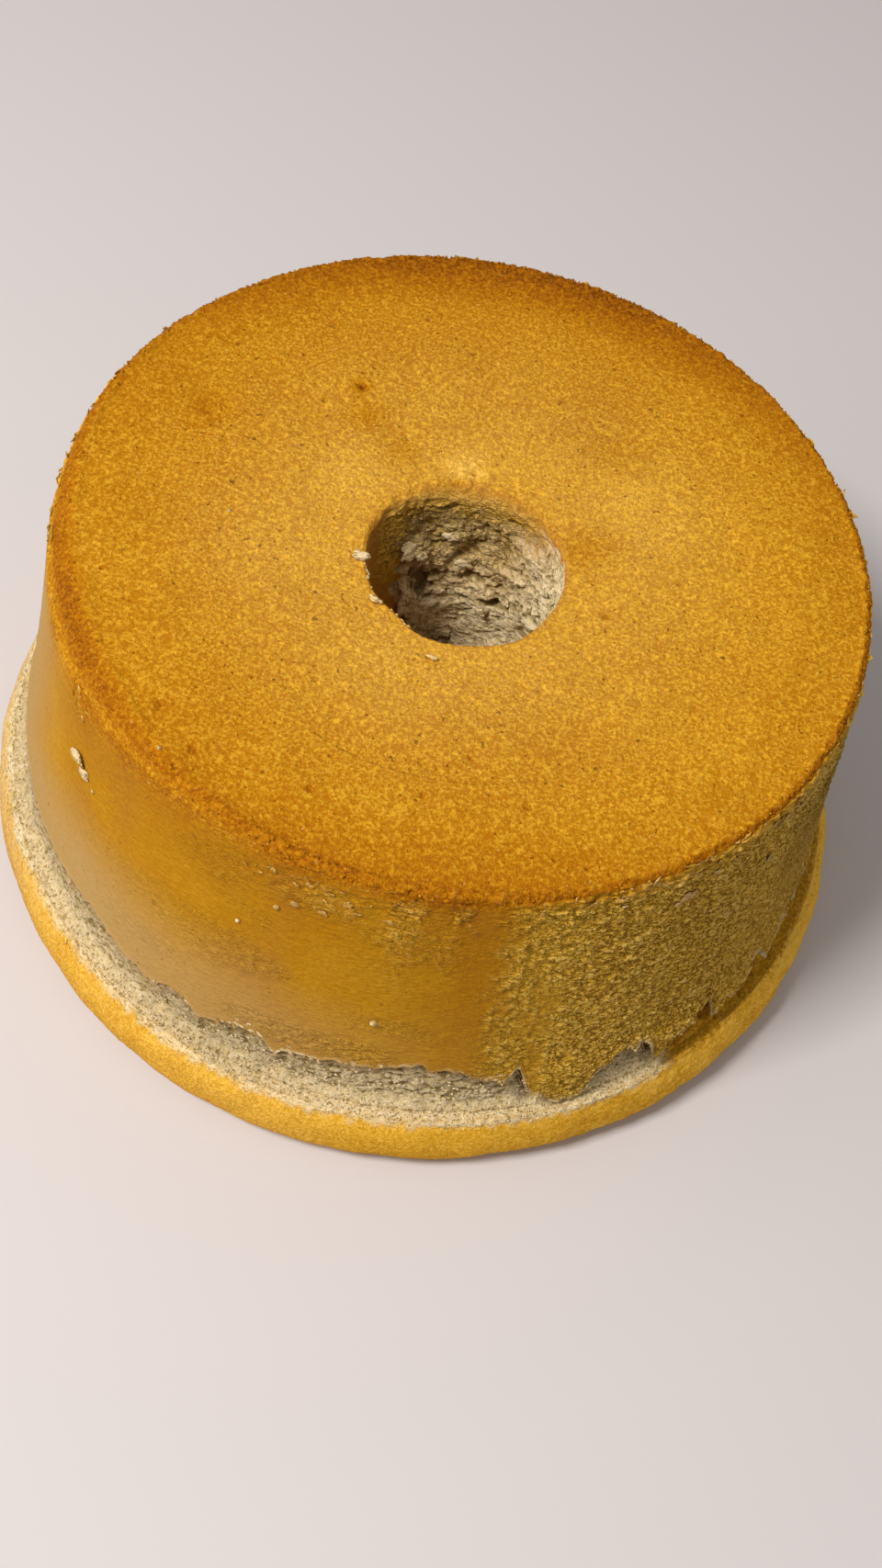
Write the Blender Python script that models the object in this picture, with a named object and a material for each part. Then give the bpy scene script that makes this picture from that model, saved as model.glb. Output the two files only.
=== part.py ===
"""Chiffon cake, baked in a tapered tube pan and turned out with the pan's base up.

Metres, +Z up. The origin is the middle of the face that the cake rests on, and the front is
towards -Y. An angle goes round the cake from the front (0) through the right (+X, 90 degrees),
and a depth is measured down from the top face.

The cake is one solid. One cut through its ring is an outline of stations, and the outline is
spun about the cake's axis. Each vertex is then moved to the outline that belongs to its own
angle, so that the edges, the torn skin and the torn tube wall are as uneven as baked cake is.
"""
import math
import random

import bmesh
import bpy
from mathutils import Vector, noise

MM = 0.001

# The whole cake
HEIGHT = 99 * MM
TOP_RADIUS = 88 * MM
WALL_TAPER = 0.121          # growth of the radius for each metre of depth, from the pan's wall
STEPS_ROUND = 120

# The top face, which baked on the pan's base
TOP_SAG = 2.5 * MM          # how much lower the face lies at the hole than at its edge
TOP_WAVE = 0.35 * MM
CRISP_EDGE = 1.6 * MM       # radius of the outer edge where it is sharp
SOFT_EDGE = 6.5 * MM        # and at the front left, where it is rubbed round
SOFT_EDGE_ANGLE = -62
SOFT_EDGE_SPREAD = 55

# The skin of the side wall, torn off above the brim
SKIN_DEPTH = 66.5 * MM      # depth of the torn edge, on average
SKIN_THICKNESS = 1.6 * MM
WALL_WAVE = 0.5 * MM
# Where the torn edge leaves that depth: (angle, half width, added depth in millimetres)
SKIN_TONGUES = (
    (-62, 16, 2.0),
    (-34, 6, 2.5),
    (-23, 4, 3.0),
    (-12, 4, 3.0),
    (4, 17, -5.5),
    (27, 5, 11.0),
    (32, 4, 6.0),
    (42, 4, 11.5),
    (54, 6, 12.0),
    (61, 3, -6.0),
    (66, 5, 5.0),
)
HIDDEN_TONGUES = 16         # tongues of the same kind on the side away from the viewer
HIDDEN_TONGUES_FROM = 76
HIDDEN_TONGUES_TO = 278
CURL = 2.2 * MM             # how far the loosest tongues stand off the wall
CURL_ANGLE = 50
CURL_SPREAD = 48

# The ledge that the pan's rim pressed, and the brim that rose over it
LEDGE_DEPTH = 79.2 * MM
LEDGE_RADIUS = 100.8 * MM
BRIM_RADIUS = 104 * MM
BRIM_DEPTH = 91 * MM        # where the brim is widest
BRIM_TOP_ANGLE = 62         # the brim's upper arc stops here, at the ledge
BRIM_CORE = 97 * MM         # centre of the brim's arcs
BRIM_WAVE = 0.9 * MM

# The hole of the pan's tube
HOLE_TOP_RADIUS = 21.3 * MM
HOLE_BASE_RADIUS = 18.5 * MM
HOLE_CENTRE = Vector((0.3 * MM, -5.5 * MM, 0))
HOLE_TOP_EDGE = 1.2 * MM
HOLE_BASE_EDGE = 2 * MM
HOLE_ROWS = 10
TORN_RELIEF = 2.6 * MM      # crags of torn crumb on the hole's wall
TORN_ANGLE = 140
TORN_SPREAD = 130
TORN_LEAST = 0.25           # share of the relief on the wall's smooth side
CRAG_SIZE = 13 * MM

RANDOM_SEED = 7


def bump(angle, centre, half_width):
    """1 at the centre angle and 0 at half_width degrees or more from it, going round."""
    away = abs((angle - centre + 180) % 360 - 180)
    if away >= half_width:
        return 0.0
    return 0.5 + 0.5 * math.cos(math.pi * away / half_width)


def wander(angle, waves, layer):
    """A smooth random curve round the cake, from about -1 to 1, with that many waves."""
    turn = math.radians(angle)
    reach = waves / math.tau
    return 2 * noise.noise(Vector((reach * math.cos(turn), reach * math.sin(turn), layer)))


def hidden_tongues():
    """Tongues of torn skin for the back of the cake, spread evenly with uneven sizes."""
    draw = random.Random(RANDOM_SEED)
    pitch = (HIDDEN_TONGUES_TO - HIDDEN_TONGUES_FROM) / HIDDEN_TONGUES
    for i in range(HIDDEN_TONGUES):
        angle = HIDDEN_TONGUES_FROM + pitch * (i + draw.uniform(0.2, 0.8))
        yield angle, draw.uniform(4, 9), draw.uniform(-4, 9)


TONGUES = SKIN_TONGUES + tuple(hidden_tongues())


def wall_radius(depth):
    """Radius of the smooth wall that the pan gave the cake."""
    return TOP_RADIUS + WALL_TAPER * depth


def skin_depth(angle):
    """Depth of the skin's torn edge, always clear of the ledge below it."""
    depth = SKIN_DEPTH + 0.8 * MM * wander(angle, 40, 3.5)
    depth += sum(added * MM * bump(angle, at, half) for at, half, added in TONGUES)
    return min(depth, LEDGE_DEPTH - 1.5 * MM)


def edge_radius(angle):
    """Rounding of the top's outer edge."""
    soft = bump(angle, SOFT_EDGE_ANGLE, SOFT_EDGE_SPREAD)
    return CRISP_EDGE + (SOFT_EDGE - CRISP_EDGE) * soft


def torn_share(angle):
    """How torn the hole's wall is: the far and right sides pulled away with the tube."""
    return TORN_LEAST + (1 - TORN_LEAST) * bump(angle, TORN_ANGLE, TORN_SPREAD)


def crags(angle, height):
    """Relief of torn crumb on the hole's wall, inwards as a negative number."""
    turn = math.radians(angle)
    place = Vector((math.cos(turn), math.sin(turn), 0)) * HOLE_TOP_RADIUS
    place.z = height
    lumps = noise.noise(place / CRAG_SIZE) + 0.5 * noise.noise(2 * place / CRAG_SIZE)
    return TORN_RELIEF * torn_share(angle) * lumps


def hole_edge_stations(angle):
    """Top end of the hole's wall, and the arc from it to the top face."""
    height = HEIGHT - TOP_SAG
    radius = HOLE_TOP_RADIUS + 0.6 * MM * wander(angle, 9, 8.1)
    yield radius, height - HOLE_TOP_EDGE, 1
    yield radius + 0.3 * HOLE_TOP_EDGE, height - 0.3 * HOLE_TOP_EDGE, 1
    yield radius + HOLE_TOP_EDGE, height, 1


def top_stations(angle):
    """The top face, from the hole to its rounded outer edge."""
    inner = HOLE_TOP_RADIUS + HOLE_TOP_EDGE
    rounding = edge_radius(angle)
    outer = TOP_RADIUS - rounding
    for share in (0.15, 0.35, 0.6, 0.8, 0.93, 1):
        sag = TOP_SAG * (1 - share) ** 2
        wave = TOP_WAVE * wander(angle, 4, 3 * share) * share
        yield inner + share * (outer - inner), HEIGHT - sag - abs(wave), 1 - share
    for turn in (30, 60, 90):
        out = rounding * math.sin(math.radians(turn))
        down = rounding * (1 - math.cos(math.radians(turn)))
        yield outer + out, HEIGHT - down, 0


def wall_stations(angle):
    """The side's skin down to its torn edge, and the step in to the crumb below it."""
    start = edge_radius(angle)
    end = skin_depth(angle)
    curl = CURL * bump(angle, CURL_ANGLE, CURL_SPREAD)
    for share in (0.12, 0.35, 0.6, 0.84, 1):
        depth = start + share * (end - start)
        wave = WALL_WAVE * wander(angle, 11, 20 * depth)
        radius = wall_radius(depth) + wave * share + curl * share ** 8
        yield radius, HEIGHT - depth, 0
    yield wall_radius(end) - SKIN_THICKNESS, HEIGHT - end + 0.2 * MM, 0


def crumb_stations(angle):
    """The band of bare crumb under the skin, and the ledge at its foot."""
    start = skin_depth(angle)
    for share in (0.45, 0.9):
        depth = start + share * (LEDGE_DEPTH - start)
        radius = wall_radius(depth) - SKIN_THICKNESS * (1.1 - 0.3 * share)
        yield radius + 0.4 * MM * wander(angle, 60, 9 * share), HEIGHT - depth, 0
    yield LEDGE_RADIUS - 1.6 * MM, HEIGHT - LEDGE_DEPTH, 0


def brim_stations(angle):
    """The golden brim: an arc over its widest ring and an arc down to the resting face."""
    widest = BRIM_RADIUS - BRIM_CORE + BRIM_WAVE * wander(angle, 7, 5.2)
    up = (BRIM_DEPTH - LEDGE_DEPTH) / math.sin(math.radians(BRIM_TOP_ANGLE))
    down = HEIGHT - BRIM_DEPTH
    for turn in (BRIM_TOP_ANGLE, 42, 20, 0, -25, -50, -72):
        out = widest * math.cos(math.radians(turn))
        rise = (up if turn > 0 else down) * math.sin(math.radians(turn))
        yield BRIM_CORE + out, HEIGHT - BRIM_DEPTH + rise, 0


def base_stations(angle):
    """The resting face, from the brim in to the hole."""
    inner = HOLE_BASE_RADIUS + HOLE_BASE_EDGE
    for share in (1, 0.6, 0.25, 0):
        yield inner + share * (BRIM_CORE - inner), 0, 1 - share


def hole_stations(angle):
    """The hole's wall, upwards, with its torn crags."""
    top = HEIGHT - TOP_SAG - HOLE_TOP_EDGE
    for i in range(HOLE_ROWS):
        share = i / HOLE_ROWS
        height = HOLE_BASE_EDGE + share * (top - HOLE_BASE_EDGE)
        radius = HOLE_BASE_RADIUS + share * (HOLE_TOP_RADIUS - HOLE_BASE_RADIUS)
        fade = min(1, 3 * share, 5 * (1 - share))
        yield radius + crags(angle, height) * fade, height, 1


OUTLINE_PARTS = (
    hole_edge_stations,
    top_stations,
    wall_stations,
    crumb_stations,
    brim_stations,
    base_stations,
    hole_stations,
)


def outline(angle):
    """The closed outline of the ring at an angle, as a list of points in space.

    The last number of a station is 1 where it is centred on the hole and 0 where it is
    centred on the cake, as the hole lies a little in front of the cake's middle.
    """
    turn = math.radians(angle)
    outwards = Vector((math.sin(turn), -math.cos(turn), 0))
    points = []
    for part in OUTLINE_PARTS:
        for radius, height, to_hole in part(angle):
            point = outwards * radius + HOLE_CENTRE * to_hole
            points.append(point + Vector((0, 0, height)))
    return points


def cake_mesh():
    """The outline spun into a closed ring, then shaped angle by angle."""
    bm = bmesh.new()
    station = bm.verts.layers.int.new("station")
    verts = []
    for number, point in enumerate(outline(0)):
        vert = bm.verts.new(point)
        vert[station] = number
        verts.append(vert)
    edges = [bm.edges.new((a, b)) for a, b in zip(verts, verts[1:] + verts[:1])]
    bmesh.ops.spin(
        bm,
        geom=verts + edges,
        cent=(0, 0, 0),
        axis=(0, 0, 1),
        angle=math.tau,
        steps=STEPS_ROUND,
        use_merge=True,
    )
    step = 360 / STEPS_ROUND
    outlines = [outline(i * step) for i in range(STEPS_ROUND)]
    for vert in bm.verts:
        angle = math.degrees(math.atan2(vert.co.x, -vert.co.y))
        vert.co = outlines[round(angle / step) % STEPS_ROUND][vert[station]]
    bmesh.ops.recalc_face_normals(bm, faces=bm.faces)
    mesh = bpy.data.meshes.new("cake")
    bm.to_mesh(mesh)
    bm.free()
    return mesh


def cake_material():
    """Golden baked crust."""
    material = bpy.data.materials.new("baked_crust")
    material.use_nodes = True
    shader = material.node_tree.nodes["Principled BSDF"]
    shader.inputs["Base Color"].default_value = (0.58, 0.27, 0.035, 1)
    shader.inputs["Roughness"].default_value = 0.75
    shader.inputs["Metallic"].default_value = 0
    material.diffuse_color = (0.58, 0.27, 0.035, 1)
    return material


def build():
    """Clears the scene and adds the cake."""
    for thing in list(bpy.data.objects):
        bpy.data.objects.remove(thing)
    mesh = cake_mesh()
    mesh.materials.append(cake_material())
    mesh.shade_smooth()
    mesh.set_sharp_from_angle(angle=math.radians(40))
    cake = bpy.data.objects.new("cake", mesh)
    bpy.context.scene.collection.objects.link(cake)


build()
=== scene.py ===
"""Looks of the chiffon cake: fine crust, skin, crumb, brim and clinging crumbs round the solid.

Metres, +Z up, the front towards -Y. An angle goes round the cake from the front (0) through the
right (90 degrees). A depth is measured from the top face, and down is the same in millimetres.
Each ring-shaped piece is an outline of stations, worked out afresh at every angle round the cake,
and then given relief.
"""

import math
import random
from bisect import bisect
from collections import namedtuple
from functools import lru_cache

import bmesh
import bpy
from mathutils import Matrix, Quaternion, Vector, noise


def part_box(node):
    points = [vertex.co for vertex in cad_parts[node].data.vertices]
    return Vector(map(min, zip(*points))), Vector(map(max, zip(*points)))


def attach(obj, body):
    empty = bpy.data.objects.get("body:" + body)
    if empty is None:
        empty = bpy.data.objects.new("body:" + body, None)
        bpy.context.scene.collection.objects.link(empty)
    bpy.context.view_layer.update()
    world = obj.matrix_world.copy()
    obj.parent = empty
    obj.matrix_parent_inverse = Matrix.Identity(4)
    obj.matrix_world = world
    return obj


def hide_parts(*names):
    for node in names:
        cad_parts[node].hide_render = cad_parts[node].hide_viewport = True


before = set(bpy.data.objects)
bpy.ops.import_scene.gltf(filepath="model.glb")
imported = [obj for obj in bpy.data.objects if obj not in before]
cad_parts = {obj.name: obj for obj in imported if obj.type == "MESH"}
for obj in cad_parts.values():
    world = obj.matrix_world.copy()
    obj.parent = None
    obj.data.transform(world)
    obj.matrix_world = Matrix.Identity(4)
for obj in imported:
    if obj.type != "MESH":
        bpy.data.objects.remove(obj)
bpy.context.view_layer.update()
MM = 0.001
UP = Vector((0, 0, 1))

# The form of the cake, as in the solid
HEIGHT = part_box("cake")[1].z
TOP_RADIUS = 88 * MM
WALL_TAPER = 0.121
TOP_SAG = 2.5 * MM
TOP_WAVE = 0.35 * MM
CRISP_EDGE = 1.6 * MM
SOFT_EDGE = 6.5 * MM
SOFT_EDGE_ANGLE = -62
SOFT_EDGE_SPREAD = 55
SKIN_DEPTH = 66.5 * MM
SKIN_THICKNESS = 1.6 * MM
WALL_WAVE = 0.5 * MM
# The skin's torn edge where it shows: (angle, depth in millimetres), from left to right
TORN_EDGE = (
    (-90, 67.5), (-60, 68), (-50, 66), (-42, 65.5), (-34, 69.5), (-30, 69.5), (-27, 66.7),
    (-24.5, 67.6), (-22, 70.6), (-18.6, 67.4), (-15.5, 65.4), (-13, 66.5), (-10.8, 69.8), (-9, 67),
    (-4, 65.3), (2, 64.7), (5, 62.5), (7.5, 61.5), (9.2, 63.2), (13, 63.4), (17, 65.6), (19, 65),
    (21.2, 63.2), (22.6, 72.6), (23.6, 74.2), (24.8, 73.2), (26, 75.6), (28.4, 77.6), (30.2, 76),
    (31.4, 73), (31.7, 70.6), (33, 68.7), (36, 67.7), (39.4, 67.2), (40.2, 70), (41.1, 76),
    (42.2, 74.6), (43, 72.4), (43.5, 69.2), (46.3, 68.8), (48, 66.6), (49.8, 65.2), (50.5, 69.4),
    (51.6, 73.8), (53, 73.8), (53.6, 70.4), (55.1, 72.4), (56.8, 72.6), (57.8, 69.4), (59.1, 66.8),
    (59.9, 63.6), (61.2, 65), (62.7, 68.8), (64, 67), (67, 63.9), (68.9, 65), (70, 61.6), (76, 63),
)
HIDDEN_TONGUES = 16
HIDDEN_TONGUES_FROM = 76
HIDDEN_TONGUES_TO = 268
CURL = 2.2 * MM
CURL_ANGLE = 50
CURL_SPREAD = 48
CURL_DEPTH = 67 * MM        # where the loose skin stands out fully
LEDGE_DEPTH = 79.2 * MM
LEDGE_RADIUS = 100.8 * MM
BRIM_RADIUS = 104 * MM
BRIM_DEPTH = 91 * MM
BRIM_TOP_ANGLE = 62
BRIM_CORE = 97 * MM
BRIM_WAVE = 0.9 * MM
HOLE_TOP_RADIUS = 21.3 * MM
HOLE_BASE_RADIUS = 18.5 * MM
HOLE_CENTRE = Vector((0.3 * MM, -5.5 * MM, 0))
HOLE_BASE_EDGE = 2 * MM
HOLE_CHORD_ANGLE = -37      # where the hole's round is cut a little straight
HOLE_CHORD_SPREAD = 24
TORN_RELIEF = 2.6 * MM
TORN_ANGLE = 140
TORN_SPREAD = 130
TORN_LEAST = 0.25
CRAG_SIZE = 13 * MM
RANDOM_SEED = 7

# Fine mesh of the pieces: steps round the cake, and where one piece of crust meets the next
RING_STEPS = 1000
HOLE_STEPS = 400
RIM_SEAM = 0.07             # share of the top face that belongs to the rim of the hole
CRUST_SEAM = 0.58           # share of the top face where its two pieces meet
SKIN_SEAM = 9 * MM          # depth at which the skin's piece begins
EVEN_DEPTH = 54 * MM        # depth down to which its rows lie level
TEAR_THICKNESS = 0.45 * MM
CRUST_THICKNESS = 1.2 * MM
HIDDEN_NEAR = 30 * MM       # radii of the pieces' hidden inner faces, and how deep they lie
HIDDEN_MIDDLE = 58 * MM
HIDDEN_FAR = 82 * MM
HIDDEN_DEPTH = 4 * MM
HIDDEN_STEP = 3 * MM        # how far the hidden faces lie behind those that show

# Camera, measured from the photograph's own view
CAMERA_PLACE = Vector((0, -0.2599, 0.3973))
CAMERA_AIM = Vector((0.00525, -0.03059, 0.05))
CAMERA_ROLL = 13.28
CAMERA_LENS = 42.18

Station = namedtuple("Station", "zone share radius height to_hole")
# The shade tone is painted shade: it mixes a dark brown over the colour.
Tones = namedtuple("Tones", "brown beige rough bare skin shade", defaults=(0,) * 6)


def smooth(low, high, value):
    """0 on low's side, 1 on high's side, and an even S between them."""
    t = min(max((value - low) / (high - low), 0), 1)
    return t * t * (3 - 2 * t)


def half_turn(angle):
    """The same angle, from -180 up to 180."""
    return (angle + 180) % 360 - 180


def bump(angle, centre, half_width):
    """1 at the centre angle and 0 at half_width degrees or more from it, going round."""
    away = abs(half_turn(angle - centre))
    if away >= half_width:
        return 0.0
    return 0.5 + 0.5 * math.cos(math.pi * away / half_width)


def within(value, start, full, last, end):
    """1 from full to last, and an even fall to 0 at start and at end."""
    return smooth(start, full, value) * smooth(end, last, value)


def on_left(start, end, angle):
    """0 to the right of start, 1 to the left of end, and 0 again at the middle of the back."""
    return smooth(start, end, angle) * smooth(-178, -125, angle)


def wander(angle, waves, layer):
    """A smooth random curve round the cake, from about -1 to 1, with that many waves."""
    turn = math.radians(angle)
    reach = waves / math.tau
    return 2 * noise.noise(Vector((reach * math.cos(turn), reach * math.sin(turn), layer)))


def grain(point, size, flat=1, layer=0):
    """Random relief from about -1 to 1, with lumps size millimetres wide and flat times as low."""
    place = Vector((point.x, point.y, point.z * flat)) / (size * MM)
    place.z += layer
    return 1.6 * noise.noise(place)


def outwards_at(angle):
    """The level direction away from the cake's axis at an angle."""
    turn = math.radians(angle)
    return Vector((math.sin(turn), -math.cos(turn), 0))


def hidden_tongues():
    """Tongues of torn skin for the back of the cake, spread evenly with uneven sizes."""
    draw = random.Random(RANDOM_SEED)
    pitch = (HIDDEN_TONGUES_TO - HIDDEN_TONGUES_FROM) / HIDDEN_TONGUES
    for i in range(HIDDEN_TONGUES):
        angle = HIDDEN_TONGUES_FROM + pitch * (i + draw.uniform(0.2, 0.8))
        yield angle, draw.uniform(4, 9), draw.uniform(-4, 9)


TONGUES_BEHIND = tuple(hidden_tongues())


def wall_radius(depth):
    """Radius of the smooth wall that the pan gave the cake."""
    return TOP_RADIUS + WALL_TAPER * depth


def raggedness(angle):
    """How ragged the torn skin is: nearly clean at the left, loose at the right and back."""
    return 0.25 + 0.75 * smooth(115, 60, abs(half_turn(angle - 100)))


def torn_line(angle):
    """Depth of the torn edge in millimetres, along the straight stretches between its corners."""
    here = half_turn(angle)
    i = bisect(TORN_EDGE, (here, 0))
    if i in (0, len(TORN_EDGE)):
        hanging = sum(added * bump(angle, at, half) for at, half, added in TONGUES_BEHIND)
        return SKIN_DEPTH / MM + hanging
    (start, start_depth), (end, end_depth) = TORN_EDGE[i - 1:i + 1]
    return start_depth + (end_depth - start_depth) * (here - start) / (end - start)


@lru_cache(maxsize=None)
def skin_depth(angle):
    """Depth of the skin's torn edge, always clear of the ledge below it."""
    teeth = 0.8 * wander(angle, 110, 1.5)
    teeth += 1.3 * (wander(angle, 190, 6.5) + wander(angle, 330, 2.1))
    depth = torn_line(angle) + raggedness(angle) * teeth
    return min(depth * MM, LEDGE_DEPTH - 1.5 * MM)


def curl_out(angle, depth):
    """How far the loose end of the skin stands out from the wall at a depth."""
    loose = bump(angle, CURL_ANGLE, CURL_SPREAD) + 0.35 * smooth(60, 90, angle % 360)
    loose *= smooth(300, 270, angle % 360)
    return CURL * loose * min(depth / CURL_DEPTH, 1) ** 14 * (1 + 0.5 * wander(angle, 30, 7.7))


def edge_radius(angle):
    """Rounding of the top's outer edge."""
    soft = bump(angle, SOFT_EDGE_ANGLE, SOFT_EDGE_SPREAD)
    return CRISP_EDGE + (SOFT_EDGE - CRISP_EDGE) * soft


def crispness(angle):
    """How crisp the top's edge looks: 0 where it is rubbed round."""
    return 1 - bump(angle, SOFT_EDGE_ANGLE, SOFT_EDGE_SPREAD + 12)


def torn_share(angle):
    """How torn the hole's wall is: the far and right sides pulled away with the tube."""
    return TORN_LEAST + (1 - TORN_LEAST) * bump(angle, TORN_ANGLE, TORN_SPREAD)


def crags(angle, height):
    """Relief of torn crumb on the hole's wall, inwards as a negative number."""
    turn = math.radians(angle)
    place = Vector((math.cos(turn), math.sin(turn), 0)) * HOLE_TOP_RADIUS
    place.z = height
    lumps = noise.noise(place / CRAG_SIZE) + 0.5 * noise.noise(2 * place / CRAG_SIZE)
    return TORN_RELIEF * torn_share(angle) * lumps


def torn_open(angle, ragged=0.0):
    """1 where the hole's wall is torn crumb, and 0 on the smooth skin at its left and front."""
    return within(angle % 360 + 6 * ragged, 38, 58, 222, 229)


def far_side(angle, start=104, full=150):
    """1 at the back of the hole, from the full angle on, and 0 at its front."""
    return within(angle % 360, start, full, 235, 262)


def rim_rounding(angle):
    """Rounding of the hole's top edge: crisp in front and soft at the back."""
    return (0.9 + 3.1 * bump(angle, 185, 105)) * MM


def hole_radius(angle, height):
    """Radius of the hole's wall at a height, with its large crags."""
    share = (height - HOLE_BASE_EDGE) / (HEIGHT - TOP_SAG - HOLE_BASE_EDGE)
    radius = HOLE_BASE_RADIUS + share * (HOLE_TOP_RADIUS - HOLE_BASE_RADIUS)
    fade = min(1, max(0, 3 * share), max(0, 5 * (1 - share)))
    radius -= 1.1 * MM * share * bump(angle, HOLE_CHORD_ANGLE, HOLE_CHORD_SPREAD)
    return radius + crags(angle, height) * fade + share * 0.6 * MM * wander(angle, 9, 8.1)


# Hollows torn into the hole's wall: (angle, height, half width in degrees, half height, depth)
HOLE_POCKETS = (
    (208, 66, 7, 3.4, 2.2), (199, 69.5, 7, 1.3, 1.8), (214, 71, 4, 1.4, 1.6),
    (176, 70, 8, 1.3, 1.8), (157, 68.5, 5, 1.0, 1.2), (154, 63.5, 10, 1.3, 2.0),
    (122, 69, 16, 1.4, 1.4), (184, 45.5, 6, 1.7, 1.5), (201, 61, 4, 1.2, 1.0),
    (187, 76, 6, 0.9, 0.8), (86, 60, 9, 1.6, 1.8), (220, 54, 5, 2.0, 2.0),
    (140, 38, 11, 1.6, 2.0), (205, 33, 9, 1.6, 2.0),
)


def pocket_depth(angle, point):
    """How deep the torn hollows are at a place in the hole, in millimetres."""
    ragged = 0.6 * grain(point, 2.2, 1, 31) + 0.25 * grain(point, 1.1, 1, 32)
    deep = 0
    for at, height, half_width, half_height, depth in HOLE_POCKETS:
        across = half_turn(angle - at) / half_width
        down = (point.z / MM - height) / half_height
        if abs(across) < 2 and abs(down) < 2:
            deep = max(deep, depth * smooth(1.15, 0.45, math.hypot(across, down) + ragged))
    return deep


def shares(count, start=0.0, end=1.0):
    """Evenly spread shares from start up to end, without end itself."""
    return [start + (end - start) * i / count for i in range(count)]


def hidden(radius, height, to_hole=0):
    """A station on a hidden inner face."""
    return Station("inside", 0, radius, height, to_hole)


def top_stations(angle, rows, start, end):
    """The top face, from a share of its width to another, seen from the hole outwards."""
    inner = HOLE_TOP_RADIUS + rim_rounding(angle)
    outer = TOP_RADIUS - edge_radius(angle)
    for share in shares(rows, start, end):
        sag = TOP_SAG * (1 - share) ** 2
        wave = TOP_WAVE * wander(angle, 4, 3 * share) * share
        radius = inner + share * (outer - inner)
        yield Station("top", share, radius, HEIGHT - sag - abs(wave), 1 - share)


def edge_stations(angle, rows):
    """The rounded outer edge of the top."""
    rounding = edge_radius(angle)
    for share in shares(rows):
        turn = share * math.pi / 2
        radius = TOP_RADIUS - rounding * (1 - math.sin(turn))
        yield Station("edge", share, radius, HEIGHT - rounding * (1 - math.cos(turn)), 0)


def wall_station(angle, depth, end):
    """One place on the side's skin."""
    wave = WALL_WAVE * wander(angle, 11, 20 * depth) * depth / SKIN_DEPTH
    radius = wall_radius(depth) + wave + curl_out(angle, depth)
    return Station("wall", depth / end, radius, HEIGHT - depth, 0)


def inner_crust_outline(angle):
    """Stations of the top crust between the rim of the hole and the outer piece."""
    yield from top_stations(angle, 64, RIM_SEAM - 0.01, CRUST_SEAM)
    yield from top_stations(angle, 1, CRUST_SEAM, 1)
    yield hidden(HIDDEN_MIDDLE, HEIGHT - HIDDEN_DEPTH, 0.4)
    yield hidden(HIDDEN_NEAR, HEIGHT - HIDDEN_DEPTH - 1.5 * MM, 1)


def outer_crust_outline(angle):
    """Stations of the crust over the outer edge and the first stretch of the side."""
    yield from top_stations(angle, 44, CRUST_SEAM, 1)
    yield from edge_stations(angle, 12)
    start = edge_radius(angle)
    end = skin_depth(angle)
    for share in shares(22) + [1]:
        yield wall_station(angle, start + share * (SKIN_SEAM - start), end)
    yield hidden(wall_radius(SKIN_SEAM) - HIDDEN_STEP, HEIGHT - SKIN_SEAM)
    yield hidden(HIDDEN_MIDDLE, HEIGHT - HIDDEN_DEPTH - 1 * MM, 0.4)


def skin_outline(angle):
    """Stations of the side's skin down to its torn edge and back up behind it."""
    end = skin_depth(angle)
    for share in shares(56):
        yield wall_station(angle, SKIN_SEAM + share * (EVEN_DEPTH - SKIN_SEAM), end)
    for share in shares(30) + [1]:
        yield wall_station(angle, EVEN_DEPTH + share * (end - EVEN_DEPTH), end)
    back_steps = 9
    for i in range(back_steps):
        share = i / back_steps
        depth = end - share * (end - SKIN_SEAM)
        thickness = TEAR_THICKNESS + (CRUST_THICKNESS - TEAR_THICKNESS) * smooth(0, 0.2, share)
        radius = wall_radius(depth) - thickness + curl_out(angle, depth)
        yield Station("tear" if i < 2 else "inside", share, radius, HEIGHT - depth, 0)
    yield hidden(wall_radius(SKIN_SEAM) - HIDDEN_STEP, HEIGHT - SKIN_SEAM)


def crumb_outline(angle):
    """Stations of the bare crumb: the band under the skin, and the core that carries it."""
    top = skin_depth(angle) - 4 * MM
    step_in = SKIN_THICKNESS * (0.35 + 0.75 * smooth(-45, -10, (angle + 90) % 360 - 90))
    yield hidden(HIDDEN_NEAR, HEIGHT - HIDDEN_DEPTH)
    yield hidden(HIDDEN_FAR, HEIGHT - HIDDEN_DEPTH)
    yield hidden(wall_radius(top) - 2.2 * MM, HEIGHT - top)
    for share in shares(40):
        depth = top + share * (LEDGE_DEPTH - top)
        cove = 1.6 * MM * smooth(0.75, 1, share)
        radius = wall_radius(depth) - step_in + 0.4 * MM * share + cove
        yield Station("band", share, radius, HEIGHT - depth, 0)
    for share in shares(12):
        radius = wall_radius(LEDGE_DEPTH) + share * (LEDGE_RADIUS - wall_radius(LEDGE_DEPTH))
        yield Station("ledge", share, radius, HEIGHT - LEDGE_DEPTH - 0.7 * MM * share ** 2, 0)
    yield hidden(LEDGE_RADIUS - 0.5 * MM, HEIGHT - LEDGE_DEPTH - 4 * MM)
    yield hidden(BRIM_CORE - HIDDEN_STEP, HIDDEN_STEP)
    yield hidden(HIDDEN_NEAR, HIDDEN_STEP)


def brim_point(angle, turn):
    """(radius, height) of the brim where its rounding has turned that far up from level."""
    widest = BRIM_RADIUS - BRIM_CORE + BRIM_WAVE * wander(angle, 7, 5.2)
    up = (BRIM_DEPTH - LEDGE_DEPTH) / math.sin(math.radians(BRIM_TOP_ANGLE))
    rise = (up if turn > 0 else HEIGHT - BRIM_DEPTH) * math.sin(turn)
    return BRIM_CORE + widest * math.cos(turn), HEIGHT - BRIM_DEPTH + rise


def on_brim(angle, turn):
    """A place on the brim, and the way it faces there."""
    radius, height = brim_point(angle, turn)
    out = outwards_at(angle)
    return out * radius + UP * height, out * math.cos(turn) + UP * math.sin(turn)


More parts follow.
